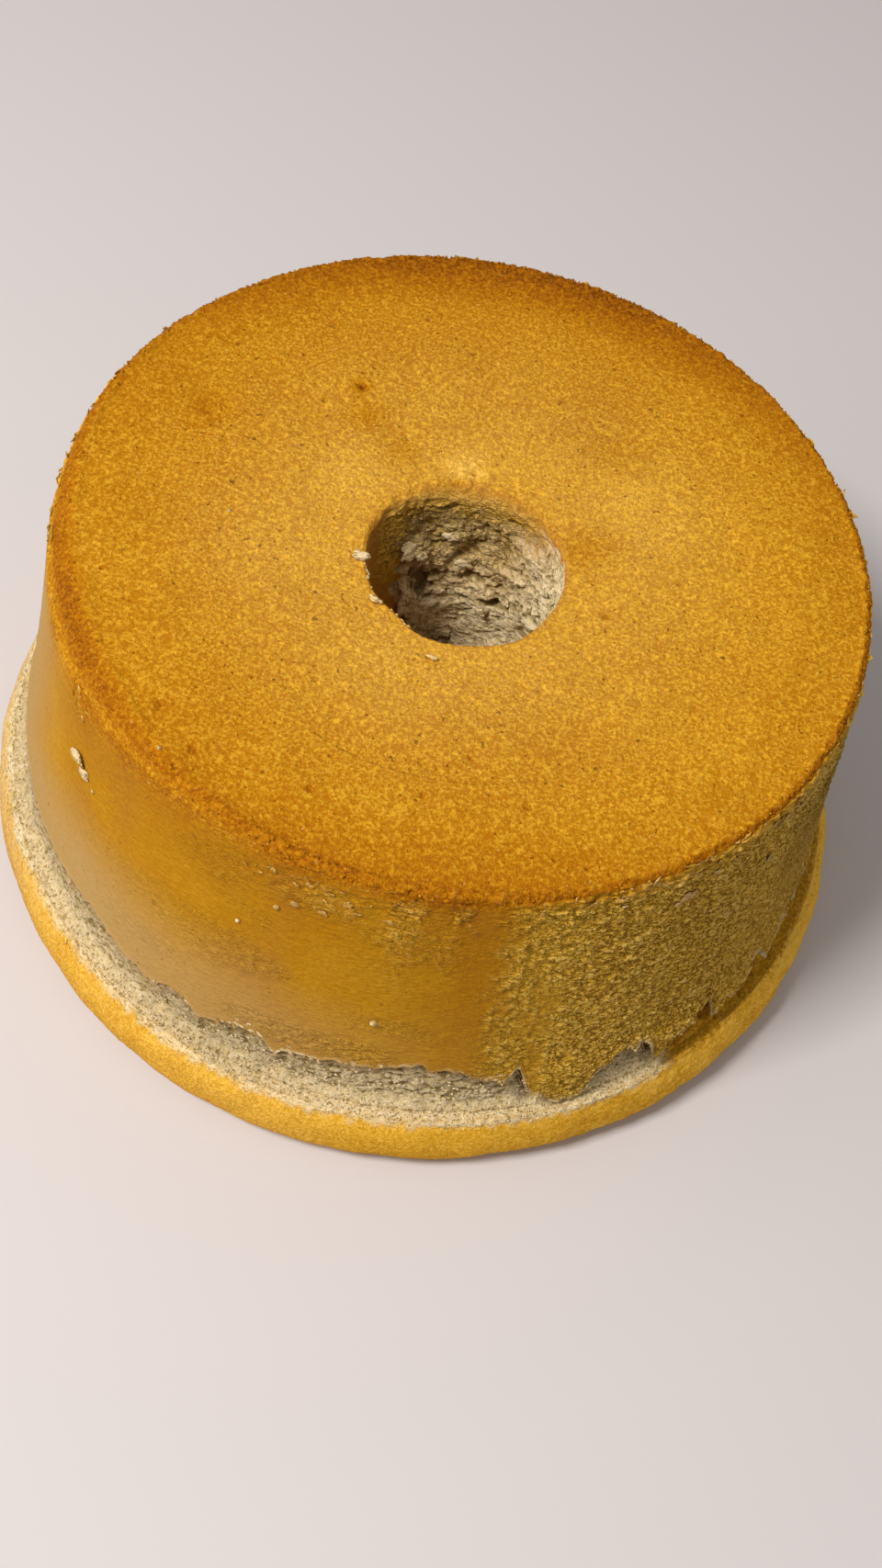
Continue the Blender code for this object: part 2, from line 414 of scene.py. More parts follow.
def brim_outline(angle):
    """Stations of the golden brim and the resting face."""
    yield hidden(LEDGE_RADIUS - HIDDEN_STEP, HEIGHT - LEDGE_DEPTH - 1.5 * MM)
    for share in shares(60):
        turn = math.radians(BRIM_TOP_ANGLE - share * (BRIM_TOP_ANGLE + 90))
        yield Station("brim", share, *brim_point(angle, turn), 0)
    inner = HOLE_BASE_RADIUS + HOLE_BASE_EDGE
    for share in shares(30):
        yield Station("base", share, BRIM_CORE - share * (BRIM_CORE - inner), 0, share)
    for share in shares(5):
        turn = share * math.pi / 2
        out = HOLE_BASE_EDGE * (1 - math.sin(turn))
        up_edge = HOLE_BASE_EDGE * (1 - math.cos(turn))
        yield Station("base", 1, HOLE_BASE_RADIUS + out, up_edge, 1)
    yield hidden(HOLE_BASE_RADIUS + 1.5 * MM, HOLE_BASE_EDGE + 2 * MM, 1)


def hole_outline(angle):
    """Stations of the torn crumb that lines the hole, up over the rim to the top face."""
    rounding = rim_rounding(angle)
    top = HEIGHT - TOP_SAG - rounding
    yield hidden(HOLE_TOP_RADIUS + 3 * HIDDEN_STEP, HEIGHT - 2 * HIDDEN_STEP, 1)
    yield hidden(HOLE_BASE_RADIUS + 3 * HIDDEN_STEP, HIDDEN_STEP, 1)
    for share in shares(24, 0, 0.3) + shares(180, 0.3, 1):
        height = HOLE_BASE_EDGE + share * (top - HOLE_BASE_EDGE)
        yield Station("hole", share, hole_radius(angle, height), height, 1)
    for share in shares(14):
        turn = share * math.pi / 2
        radius = hole_radius(angle, top) + rounding * (1 - math.cos(turn))
        yield Station("rim", share, radius, top + rounding * math.sin(turn), 1)
    yield from top_stations(angle, 12, 0, RIM_SEAM)


def wrinkled(angle, down):
    """How coarsely the skin is wrinkled: the right half, patches in front, faintly elsewhere."""
    edge = angle + 3.0 * noise.noise(Vector((0.5 * angle, down / 5, 5)))
    right = smooth(12, 18, edge) * smooth(122, 96, angle)
    right *= 1 - 0.45 * bump(edge, 22, 4) * smooth(22, 40, down)
    right *= 1 - 0.30 * smooth(46, 66, angle) * smooth(20, 30, down)
    patch = bump(edge, 2.5, 4.5) * smooth(40, 12, down)
    second = 0.9 * bump(edge, 9, 4) * smooth(15, 9, down)
    upper = 0.15 * bump(angle, -8, 20) * smooth(10, 4, down)
    left = 0.4 * bump(angle, -50, 5) * smooth(17, 7, down)
    faint = 0.06 + 0.60 * within(angle, -55, 2, 96, 122)
    faint *= (1 - 0.8 * bump(angle, 12, 4)) * smooth(-0.2, 0.7, wander(angle, 26, 0.09 * down))
    back = smooth(0.1, 0.7, wander(angle, 6, 9.4)) * within(angle % 360, 100, 130, 262, 290)
    return min(1, max(right, patch, second, upper, left, back, faint))


def crumbly(angle, down):
    """How broken the skin is: a rough strip under the top edge at the right and the back."""
    here = angle % 360
    reach = 6 + 5 * smooth(20, 60, here) + 2 * wander(angle, 14, 2.7)
    strip = 0.9 * within(here, 12, 30, 250, 300) * smooth(reach, 0.4 * reach, down)
    front = 0.6 * bump(angle, -8, 15) * within(down, 3, 6, 11, 18)
    left = 0.6 * bump(angle, -51, 5) * within(down, 4, 7, 12, 17)
    return max(strip, front, left)


# Small hollows in the top crust: (x, y, width, depth), in millimetres
TOP_PITS = (
    (31.5, -11.3, 1.3, 0.7), (-52.7, -58.5, 1.2, 0.7), (-20, -70, 1.1, 0.7),
    (-31, 38, 1.6, 0.7), (-63, 21, 1.2, 0.4), (-44, -67, 1.3, 0.6),
    (22, -64, 1.0, 0.5), (-2.2, 20.9, 0.8, 0.8), (21.1, 33.6, 1.0, 0.5),
    (-3.2, -31.4, 0.8, 0.7), (2.5, 21.0, 1.2, 0.3), (52, -31, 0.8, 0.5),
    (-41, 55, 0.8, 0.5), (47, 40, 0.8, 0.4), (9, -55, 0.8, 0.5),
    (1.5, -66, 0.9, 0.6), (-7.8, -33.1, 0.45, 0.6), (-6.9, -33.3, 0.4, 0.5),
    (-5.9, -33.1, 0.5, 0.6), (-4.9, -33.4, 0.4, 0.5), (-1.3, -33.0, 0.5, 0.5),
)

# The creases just behind the hole: (x, y) and width, in millimetres
CREASES_AT = (-7, 17.5)
CREASES_WIDTH = 7


def away_from(point, x, y, size):
    """How far a place is from x and y, in millimetres, as a share of that size."""
    return math.hypot(point.x / MM - x, point.y / MM - y) / size


def creased(point):
    """How creased the top is: a patch of curled creases just behind the hole."""
    return smooth(1, 0.3, away_from(point, *CREASES_AT, CREASES_WIDTH))


def flaky(point, size, layer):
    """Torn layers: flat patches with steep ragged edges, one about a step above the next."""
    level = 2.2 * grain(point, size, 1.3, layer) + 0.4 * grain(point, 0.3 * size, 1, layer + 1)
    step = math.floor(level)
    return step + smooth(0.5, 0.95, level - step)


def curled(point, size, layer):
    """Thin curled ridges with hollows between them."""
    sway = Vector((0, 0, 0.3 * size * MM * grain(point, 2 * size, layer=layer + 3)))
    return 0.42 - abs(grain(point + sway, size, 1.8, layer))


def pit_depth(point):
    """How deep the small hollows of the top are at a place, in millimetres."""
    deep = 0
    for x, y, width, depth in TOP_PITS:
        away = away_from(point, x, y, width)
        if away < 2:
            deep = max(deep, depth * math.exp(-2 * away * away))
    return deep


def top_relief(station, angle, point):
    """Relief of the top face: fine grain, a frayed outer edge, creases and small hollows."""
    fine = 0.08 * grain(point, 1.0) + 0.06 * grain(point, 2.0, layer=7)
    slow = 0.18 * grain(point, 11, layer=3) * smooth(0, 0.2, station.share)
    fray = 0.2 * crispness(angle) * smooth(0.965, 1, station.share) * grain(point, 1.6, layer=9)
    creases = 0.8 * creased(point) * curled(point, 2.6, 40)
    return fine + slow + fray + creases - pit_depth(point)


def edge_relief(station, angle, point):
    """Relief of the top's outer edge: frayed where it is crisp."""
    return (0.08 + 0.27 * crispness(angle)) * grain(point, 1.5, layer=9)


def wall_relief(station, angle, point):
    """Relief of the side: worm-like wrinkles, lumps in the broken strip, and wiped streaks."""
    down = (HEIGHT - point.z) / MM
    broken = crumbly(angle, down)
    sway = Vector((0, 0, 0.9 * MM * grain(point, 7, layer=21)))
    folds = max(-0.2, 0.45 - 1.5 * abs(grain(point + sway, 2.8, 2.2)))
    folds += 0.9 * max(-0.2, 0.4 - 1.5 * abs(grain(point - sway, 1.9, 1.9, 4)))
    lumps = 0.8 * grain(point, 2.2, 1.5, 15) - 0.6 * abs(grain(point, 3.0, 1.6, 16)) + 0.3
    calm = 0.10 * grain(point, 9, 0.1, 11) + 0.05 * grain(point, 2.5, 4, 23)
    calm += 0.04 * grain(point, 1.3)
    calm += 0.25 * crispness(angle) * smooth(3.5, 1.5, down) * grain(point, 1.5, layer=9)
    wrinkles = 0.85 * wrinkled(angle, down) * (1 - 0.5 * broken) * (folds - 0.1)
    return wrinkles + 0.8 * broken * lumps + calm


def band_relief(station, angle, point):
    """Relief of the bare band and ledge: lying fibres and open pores, then upright tufts."""
    tuft = smooth(0.72, 0.95, station.share) if station.zone == "band" else 1
    sway = Vector((0, 0, 0.7 * MM * grain(point, 5, layer=22)))
    fibres = 0.50 * grain(point + sway, 2.8, 3.0) + 0.32 * grain(point - sway, 1.5, 2.4, 5)
    fibres -= 0.9 * max(0, grain(point, 2.4, 2.8, 12) - 0.15)
    tufts = 0.32 * grain(point, 1.1, 0.45, 17) + 0.2 * grain(point, 2.4, 0.6, 18)
    return (1 - tuft) * fibres + tuft * (tufts + 0.1)


def brim_right(angle):
    """1 along the right-hand side of the brim, where its crust is rougher."""
    return within(angle, 15, 40, 120, 150)


def brim_relief(station, angle, point):
    """Relief of the brim's soft crust: slow lumps, fine grain and a frayed top edge."""
    slow = 0.28 * grain(point, 9, 1, 2) + 0.20 * brim_right(angle) * grain(point, 2.2, 1.6, 8)
    edge = 0.35 * smooth(0.16, 0, station.share) * grain(point, 1.3, 0.6, 4)
    return smooth(1, 0.9, station.share) * (0.09 * grain(point, 1.1) + slow + edge)


def rim_curls(angle, point):
    """Curled flakes round the rim of the hole, highest at its back."""
    return (0.25 + 0.75 * far_side(angle, 110, 140)) * curled(point, 3.2, 40)


def rim_relief(station, angle, point):
    """Relief of the hole's rounded rim, which runs on into the top face's."""
    fade = smooth(1, 0.8, station.share)
    return fade * 0.8 * rim_curls(angle, point) + (1 - fade) * top_relief(station, angle, point)


def hole_relief(station, angle, point):
    """Relief of the hole's wall: torn layers, lumps and hollows, or calm skin."""
    torn = torn_open(angle, grain(point, 3, 1, 3)) * smooth(1, 0.90, station.share)
    layers = 0.30 * flaky(point, 6, 2) + 0.20 * flaky(point, 3.0, 8)
    lumps = abs(grain(point, 4.2, 1.2, 14)) + 0.6 * abs(grain(point, 2.0, 1.2, 15)) - 0.5
    calm = 1 - 0.65 * smooth(72 * MM, 54 * MM, point.z)
    crumb = calm * (layers + lumps) + 0.28 * grain(point, 1.2, 1.3, 4) - pocket_depth(angle, point)
    curls = 0.8 * rim_curls(angle, point) * smooth(0.75, 1, station.share)
    return torn * crumb + (1 - torn) * (curls + 0.25 * grain(point, 2.4, 1.6, 5))


ZONE_RELIEFS = {
    "top": top_relief,
    "edge": edge_relief,
    "wall": wall_relief,
    "band": band_relief,
    "ledge": band_relief,
    "brim": brim_relief,
    "rim": rim_relief,
    "hole": hole_relief,
}


def relief(station, angle, point):
    """Height of the fine relief at a place, in millimetres; hidden and resting faces have none."""
    if station.zone in ZONE_RELIEFS:
        return ZONE_RELIEFS[station.zone](station, angle, point)
    return 0


# Stains and pale patches on the top: (x, y, radius, added brown), in millimetres
TOP_MARKS = (
    (-63, 21, 4, 0.10), (-28, 30, 5, 0.10), (-19, 22, 5, 0.09),
    (-31, 38, 2, 0.20), (29, 32, 7, 0.04), (30, 9, 4, 0.05),
    (24, 5, 6, 0.10), (-4, 21, 5, -0.16), (-26, 14, 9, -0.06),
    (-40, -12, 17, -0.05), (38, 18, 14, -0.06), (-8, -38, 14, -0.06),
    (14, -34, 10, -0.03),
)


def top_tones(station, angle, point):
    """Tones of the top face: paler round the hole, browner at the edge, most of all at the back."""
    radius = math.hypot(point.x, point.y) / MM
    brown = 0.345 + 0.10 * smooth(25, 70, radius) + 0.03 * grain(point, 16, 1, 5)
    brown += smooth(68, 88, radius) * (0.05 + 0.36 * bump(angle, 178, 90))
    brown += smooth(72, 85, radius) * 0.09 * bump(angle, 8, 60)
    brown += smooth(83.5, 87, radius) * 0.18 * bump(angle, -25, 70)
    brown += 0.5 * pit_depth(point) - 0.06 * smooth(15, 60, point.x / MM)
    pale = 0.05 * smooth(78, 25, radius)
    for x, y, size, added in TOP_MARKS:
        mark = added * math.exp(-away_from(point, x, y, size) ** 2)
        brown += mark
        pale -= 0.4 * mark
    return Tones(brown=brown, rough=0.9 * creased(point), bare=max(0, pale))


def edge_tones(station, angle, point):
    """Tones of the top's outer edge, which start from those of the top beside it."""
    crisp = crispness(angle)
    start = top_tones(station, angle, point).brown
    brown = 0.66 + 0.12 * bump(angle, 178, 90) + 0.10 * bump(angle, -60, 22)
    brown += (1 - crisp) * (0.03 - 0.30 * smooth(0.5, 1, station.share))
    return Tones(brown=start + (brown - start) * smooth(0, 0.4, station.share), rough=0.15 * crisp)


def wall_tones(station, angle, point):
    """Tones of the side's skin: ochre in front, pale at the left, khaki wrinkles and painted shade
    at the right.
    """
    down = (HEIGHT - point.z) / MM
    broken = crumbly(angle, down)
    crisp = crispness(angle)
    streaks = 0.5 * wander(angle, 34, 4.4) + 0.5 * grain(point, 12, 0.3, 19)
    patches = grain(point, 9, 0.6, 29)
    low = smooth(30, 62, down) * on_left(30, -50, angle)
    back = within(angle % 360, 110, 150, 262, 290) * smooth(30, 60, down)
    beige = max(1.15 * on_left(-50, -78, angle), low, 0.7 * back)
    beige += 0.08 * streaks + 0.04 * patches - 0.03
    warm = smooth(30, 2, down) * within(angle, -96, -60, 8, 22)
    front = within(angle, -60, 0, 8, 30) * smooth(64, 34, down)
    brown = 0.32 + (0.14 + 0.12 * crisp) * warm + 0.05 * front + 0.12 * streaks + 0.08 * patches
    brown += 0.12 * bump(angle, 12, 5) * smooth(2, 12, down)
    brown += 0.10 * smooth(4, 1, down) * crisp + 0.05 * broken
    brown += 0.06 * bump(angle, -62, 25) * smooth(30, 8, down)
    # Painted shade: browner on the right-hand side, which faces away from the lamp.
    brown += 0.16 * within(angle, 52, 80, 100, 130) * smooth(7, 14, down)
    # Painted highlight: the broken strip at the right and back is paler, where its flakes catch
    # light.
    brown -= 0.25 * broken * within(angle % 360, 30, 50, 270, 300)
    brown -= 0.12 * bump(angle, 0, 24) * within(down, 5, 8, 12, 20)
    rim = smooth(0.975, 0.992, station.share) * raggedness(angle)
    beige = max(min(max(beige, 0), 1) * (1 - 0.7 * broken), rim)
    bare = rim * (0.35 + 0.5 * wander(angle, 90, 3.9))
    skin = smooth(0.3, 3.5 + 5 * (1 - crisp), down - edge_radius(angle) / MM)
    # Painted shade on the right-hand side, none near the top and less lower down, where the loose
    # skin catches light.
    shade = (0.08 * smooth(38, 48, angle) + 0.44 * smooth(54, 72, angle)) * smooth(140, 100, angle)
    shade *= within(down, 11, 17, 25, 75)
    rough = wrinkled(angle, down) * (1 - 0.45 * broken)
    rough *= 1 - 0.5 * within(angle, -100, -60, 10, 32)
    return Tones(brown, beige, max(rough, 0.6 * broken), max(bare, 0), skin, shade)


def band_bareness(angle):
    """How bare the band under the skin is: crumb shows in front and left, crust at the right."""
    crust_right = smooth(40, 47, angle + 2 * wander(angle, 60, 7.3)) * smooth(108, 94, angle)
    crust_behind = within(angle % 360, 100, 130, 250, 280) * smooth(0, 0.35, wander(angle, 5, 6.1))
    return 1 - max(crust_right, crust_behind)


def band_tones(station, angle, point):
    """Tones of the bare band: painted shadow under the skin, then crumb, cream and upright at its
    foot.
    """
    under = (HEIGHT - point.z - skin_depth(angle)) / MM
    bare = band_bareness(angle)
    ragged = 0.10 * grain(point, 2.6, 0.8, 9) + 0.05 * wander(angle, 330, 5.1)
    tuft = smooth(0.76, 0.94, station.share + ragged) if station.zone == "band" else 1
    # The shade tone darkens the band all over and more at its left; just under the skin's torn edge
    # and under the loose skin at the right it is painted shadow. It fades at the cream foot.
    left = 0.09 * on_left(0, -25, angle) + 0.06 * on_left(-40, -75, angle)
    left += 0.14 * bump(angle, -16, 24)
    shade = 0.25 + left + 0.30 * smooth(1.5, 0, under) + 0.12 * smooth(9, 1, under)
    shade += 0.12 * within(angle, 22, 40, 94, 108)
    shade *= 1 - (0.82 - 0.35 * (1 - bare) - 2 * left) * tuft
    bare *= 1 - 0.10 * tuft - (0.06 + 0.40 * smooth(6, 0, under)) * (1 - tuft)
    return Tones(brown=0.62 - 0.34 * tuft, rough=tuft * bare, bare=bare, shade=shade)


def brim_tones(station, angle, point):
    """Tones of the brim: a ragged cream line at its top edge, then gold that browns downwards."""
    share = station.share + 0.03 * grain(point, 2.0, 0.8, 9) + 0.02 * wander(angle, 330, 5.1)
    left = on_left(-15, -70, angle)
    right = brim_right(angle)
    bare = 0.75 * smooth(0.12, 0.03, share) + 0.06 * on_left(10, -15, angle)
    bare *= band_bareness(angle)
    bare += 0.50 * on_left(-40, -80, angle) * smooth(0.6, 0.1, share)
    brown = 0.14 + 0.07 * left - 0.02 * right + 0.09 * smooth(0.12, 0.5, share)
    brown += 0.05 * grain(point, 14, 1, 5) + (0.03 + 0.09 * right) * grain(point, 4, 1.5, 6)
    # Painted highlight: paler gold round 80 degrees at the right. The shade tone darkens the left a
    # little.
    brown -= 0.12 * bump(angle, 80, 25)
    return Tones(brown=brown, bare=min(bare, 1), shade=0.10 * left)


def base_tones(station, angle, point):
    """Tones of the face that the cake rests on."""
    return Tones(brown=0.42 + 0.08 * grain(point, 20))


def hole_tones(station, angle, point):
    """Tones in the hole: dark skin at the left, a creased far rim, crumb where it is torn, and
    painted shade.

    They hang on the place alone, so the shreds in the hole ask for them without a station.
    """
    below = (HEIGHT - TOP_SAG - point.z) / MM
    ragged = grain(point, 3, 1, 3)
    far = far_side(angle)
    upper = far_side(angle, 122, 168) * smooth(38, 14, below)
    crust = far * smooth(11, 3.5, below + 2.5 * ragged)
    crust += (1 - far) * smooth(2.2, 0.6, below + ragged)
    torn = torn_open(angle, ragged)
    # Painted shade, over the torn crumb only: near the top at the back, towards the left, in the
    # torn hollows and deep down.
    shade = 0.20 * far * smooth(20, 5, below)
    shade += 0.18 * smooth(150, 220, angle % 360) * smooth(45, 20, below)
    shade += 0.14 * pocket_depth(angle, point) + 0.05 * smooth(55, 80, below) + 0.10 * upper
    return Tones(brown=0.60 - 0.3 * far * torn, beige=0.3 * crust + 0.45 * (1 - torn), rough=upper,
                 bare=torn * (1 - crust) * (1 - 0.5 * upper), skin=max(upper, 0.6 * (1 - torn)),
                 shade=min(0.9, shade * torn))


def rim_tones(station, angle, point):
    """Tones of the hole's rounded rim: golden outside, browner as it turns down, with a little
    painted shade at the back.
    """
    down = smooth(1, 0, station.share)
    far = far_side(angle)
    wear_and_relief_shade = smooth(0.35, 0.0, station.share + 0.2 * grain(point, 2))
    bare = torn_open(angle) * (1 - far) * wear_and_relief_shade
    return Tones(brown=0.38 + 0.20 * down, beige=0.3 * far * down,
                 rough=0.5 * far * smooth(0.9, 0.5, station.share), bare=max(bare, 0.05),
                 skin=far * smooth(0.8, 0.2, station.share), shade=0.08 * far * down)


ZONE_TONES = {
    "top": top_tones,
    "edge": edge_tones,
    "wall": wall_tones,
    "band": band_tones,
    "ledge": band_tones,
    "brim": brim_tones,
    "base": base_tones,
    "rim": rim_tones,
    "hole": hole_tones,
}
PLAIN_TONES = {
    "tear": Tones(brown=0.1, beige=0.8, bare=0.8, skin=1),
    "inside": Tones(brown=0.4, bare=0.5, skin=1),
}


def tones(station, angle, point):
    """Browning, paleness, coarseness, bareness, skin and painted shade of a place, each from 0 to
    1.
    """
    if station.zone in PLAIN_TONES:
        return PLAIN_TONES[station.zone]
    return ZONE_TONES[station.zone](station, angle, point)


def mesh_from(bm, name):
    """The finished mesh of a bmesh."""
    mesh = bpy.data.meshes.new(name)
    bm.to_mesh(mesh)
    bm.free()
    return mesh


def new_object(name, data):
    """An object in the scene."""
    thing = bpy.data.objects.new(name, data)
    bpy.context.scene.collection.objects.link(thing)
    return thing


def finish_piece(name, bm):
    """Makes the finished mesh an object at the origin, smooth but for its sharp folds."""
    mesh = mesh_from(bm, name)
    mesh.shade_smooth()
    mesh.set_sharp_from_angle(angle=math.radians(70))
    return new_object(name, mesh)


def tone_layers(bm):
    """Layers on a mesh for its tones, and last for its relief."""
    return [bm.verts.layers.float.new(label) for label in (*Tones._fields, "relief")]


def ring_piece(name, steps, outline, deepest):
    """A closed ring: a grid rolled round the cake on the outlines of its angles, with relief.

    The relief is kept as a tone too, from 0 at that many millimetres deep to 1 at that many high.
    """
    angles = [360 * i / steps for i in range(steps)]
    rings = [list(outline(angle)) for angle in angles]
    rows = len(rings[0])
    bm = bmesh.new()
    layers = tone_layers(bm)
    bmesh.ops.create_grid(bm, x_segments=steps, y_segments=rows, size=1)
    spots = []
    for vert in bm.verts:
        column = round((vert.co.x + 1) / 2 * steps) % steps
        row = round((vert.co.y + 1) / 2 * rows) % rows
        station = rings[column][row]
        outwards = outwards_at(angles[column])
        vert.co = outwards * station.radius + HOLE_CENTRE * station.to_hole
        vert.co.z = station.height
        spots.append((angles[column], station, outwards))
    seam = [vert for vert in bm.verts if vert.is_boundary]
    seam_map = bmesh.ops.find_doubles(bm, verts=seam, dist=0.001 * MM)["targetmap"]
    where = {vert: spot for vert, spot in zip(bm.verts, spots) if vert not in seam_map}
    bmesh.ops.weld_verts(bm, targetmap=seam_map)
    bmesh.ops.recalc_face_normals(bm, faces=bm.faces)
    bm.normal_update()
    normals = {vert: vert.normal.copy() for vert in bm.verts}
    for vert in bm.verts:
        angle, station, outwards = where[vert]
        angle = half_turn(angle)
        height = relief(station, angle, vert.co)
        shown = *tones(station, angle, vert.co), 0.5 + 0.5 * height / deepest
        for layer, tone in zip(layers, shown):
            vert[layer] = tone
        away = {"top": UP, "wall": outwards}.get(station.zone, normals[vert])
        vert.co += away * height * MM
    return finish_piece(name, bm)


Crumb = namedtuple("Crumb", "place facing size tones spin", defaults=(0,))


def rounds_for(size):
    """How finely a crumb is divided: the small ones have 20 faces, the largest 320."""
    largest = max(size)
    return 1 if largest < 1.7 else 2 if largest < 2.6 else 3


def ball_mesh(rounds):
    """A plain ball of 1 mm across, from which a crumb is shaped."""
    bm = bmesh.new()
    bmesh.ops.create_icosphere(bm, subdivisions=rounds, radius=0.5)
    return mesh_from(bm, "ball")


def crumb_piece(name, crumbs):
    """Many crumbs and flakes in one mesh, each a closed lumpy ball pressed to its own size."""
    crumbs = list(crumbs)
    balls = {rounds: ball_mesh(rounds) for rounds in (1, 2, 3)}
    bm = bmesh.new()
    for crumb in crumbs:
        bm.from_mesh(balls[rounds_for(crumb.size)])
    layers = tone_layers(bm)
    draw = random.Random(name)
    verts = iter(bm.verts)
    for crumb in crumbs:
        rounds = rounds_for(crumb.size)
        spot = Vector(drawn(draw, (0, 99), (0, 99), (0, 99)))
        turn = crumb.facing.to_track_quat("Z", "Y") @ Quaternion(UP, crumb.spin)
        uneven = 0.35 if rounds == 1 else 0.8
        for _ in balls[rounds].vertices:
            vert = next(verts)
            lumps = noise.noise(2.6 * vert.co + spot) + 0.4 * noise.noise(6 * vert.co + spot)
            swell = 1 + uneven * lumps
            pressed = Vector(axis * part * swell * MM for axis, part in zip(vert.co, crumb.size))
            vert.co = crumb.place + turn @ pressed
            for layer, tone in zip(layers, (*crumb.tones, 0.5 + 0.25 * uneven * lumps)):
                vert[layer] = tone
    for ball in balls.values():
        bpy.data.meshes.remove(ball)
    return finish_piece(name, bm)


def on_wall(angle, depth, out=0):
    """A place on the side, that far out from the wall."""
    place = outwards_at(angle) * (wall_radius(depth) + out)
    place.z = HEIGHT - depth
    return place


def in_hole(angle, height, inwards):
    """A place that far in from the hole's torn wall, and the level way out from the axis there."""
    out = outwards_at(angle)
    place = out * hole_radius(angle, height) + HOLE_CENTRE
    place.z = height
    share = (height - HOLE_BASE_EDGE) / (HEIGHT - TOP_SAG - HOLE_BASE_EDGE)
    torn = hole_relief(Station("hole", share, 0, height, 1), angle, place) * MM
    return place - out * (torn + inwards), out


def drawn(draw, *ranges):
    """One random number from each range, in turn."""
    return tuple(draw.uniform(*ends) for ends in ranges)


def tilted(direction, draw, amount):
    """A direction turned a little at random."""
    shift = Vector(drawn(draw, (-1, 1), (-1, 1), (-1, 1)))
    return (direction + amount * shift).normalized()


def tear_flakes():
    """Thin rags of skin and crumb along the torn edge, most of them where it hangs loose."""
    draw = random.Random(RANDOM_SEED + 1)
    for _ in range(700):
        angle = draw.uniform(-180, 180)
        if draw.random() > 0.15 + 0.85 * raggedness(angle):
            continue
        end = skin_depth(angle)
        depth = end + draw.uniform(-0.9, 0.3) * MM
        size = drawn(draw, (0.5, 1.4), (0.4, 1.5), (0.12, 0.3))
        place = on_wall(angle, depth, curl_out(angle, depth) - 0.25 * MM)
        pale = draw.uniform(0.1, 0.7)
        shown = Tones(brown=0.35, beige=pale, rough=0.2, bare=pale, skin=1)
        facing = tilted(outwards_at(angle), draw, 0.6)
        yield Crumb(place, facing, size, shown, draw.uniform(0, math.tau))


def edge_flakes():
    """Crumbs on the top's crisp edge, and khaki flakes in the broken strip under it."""
    draw = random.Random(RANDOM_SEED + 2)
    for _ in range(900):
        angle = draw.uniform(-180, 180)
        if draw.random() < bump(angle, SOFT_EDGE_ANGLE, SOFT_EDGE_SPREAD + 25) + 0.1:
            continue
        turn = draw.uniform(0.1, 1.5)
        rounding = edge_radius(angle)
        place = outwards_at(angle) * (TOP_RADIUS - rounding * (1 - math.sin(turn)))
        place.z = HEIGHT - rounding * (1 - math.cos(turn))
        size = drawn(draw, (0.3, 1), (0.3, 1), (0.3, 1))
        facing = tilted(outwards_at(angle), draw, 1)
        yield Crumb(place, facing, size, Tones(brown=draw.uniform(0.5, 0.75)))
    for _ in range(2200):
        angle = draw.uniform(-180, 180)
        down = draw.uniform(0.8, 13)
        if draw.random() > 0.7 * crumbly(angle, down):
            continue
        size = drawn(draw, (0.6, 2.5), (0.4, 1.4), (0.2, 0.5))
        pale = draw.uniform(0, 0.2)
        facing = tilted(outwards_at(angle), draw, 0.5)
        shown = Tones(brown=draw.uniform(0.1, 0.6), beige=2 * pale, rough=0.5, bare=pale, skin=1)
        place = on_wall(angle, down * MM, 0.1 * MM)
        yield Crumb(place, facing, size, shown, draw.uniform(-0.5, 0.5))


def band_crumbs():
    """Loose crumb on the bare band and the ledge."""
    draw = random.Random(RANDOM_SEED + 3)
    for _ in range(2200):
        angle = draw.uniform(-180, 180)
        end = skin_depth(angle)
        share = draw.random() ** 0.5
        out = (-SKIN_THICKNESS * 0.8 + 1.3 * MM * smooth(0.8, 1, share)) * 0.9
        if share > 0.93:
            out += draw.uniform(0, LEDGE_RADIUS - wall_radius(LEDGE_DEPTH))
        place = on_wall(angle, end + share * (LEDGE_DEPTH - end), out)
        size = drawn(draw, (0.35, 1.1), (0.3, 0.7), (0.25, 0.5))
        if draw.random() < band_bareness(angle):
            # Painted shadow: the crumbs nearer the skin's torn edge are darker.
            shown = Tones(rough=share, bare=1, shade=0.15 * (1 - share))
            yield Crumb(place, tilted(outwards_at(angle), draw, 0.4), size, shown)


def brim_crumbs():
    """Fuzz along the brim: golden and cream grains at its top edge and at its foot."""
    draw = random.Random(RANDOM_SEED + 4)
    for i in range(1500):
        angle = draw.uniform(-180, 180)
        foot = i % 2 == 0
        turn = math.radians(draw.uniform(-84, -50) if foot else draw.uniform(46, 63))
        size = drawn(draw, (0.25, 0.6), (0.25, 0.7), (0.2, 0.5))
        bare = draw.uniform(0.2, 0.8) if foot else draw.uniform(0.3, 0.9) * band_bareness(angle)
        yield Crumb(*on_brim(angle, turn), size, Tones(brown=0.1, bare=bare))


# Large flakes that stand out from the hole's wall: (angle, height, width, length, turn in degrees)
HOLE_FLAKES = (
    (221, 80, 5.5, 3.4, 20), (214, 78, 3.0, 2.6, -30), (221, 66, 2.4, 5.6, 10),
    (223, 61, 2.0, 4.0, -12), (194, 83, 3.2, 2.2, 15), (183, 74, 4.2, 2.0, -10),
    (172, 67.5, 3.4, 1.8, 12), (163, 61, 3.0, 1.6, 0), (150, 66, 2.6, 1.4, -15),
    (132, 67, 3.4, 1.6, 8), (118, 71, 3.0, 1.6, -8), (196, 64, 2.6, 1.8, 25),
    (187, 48, 4.2, 2.2, -8), (178, 44, 3.0, 1.8, 12), (213, 50, 3.2, 2.0, 0),
    (105, 86.5, 2.2, 4.0, 10), (112, 84.5, 1.8, 2.6, -15), (99, 83, 1.6, 2.4, 0),
)


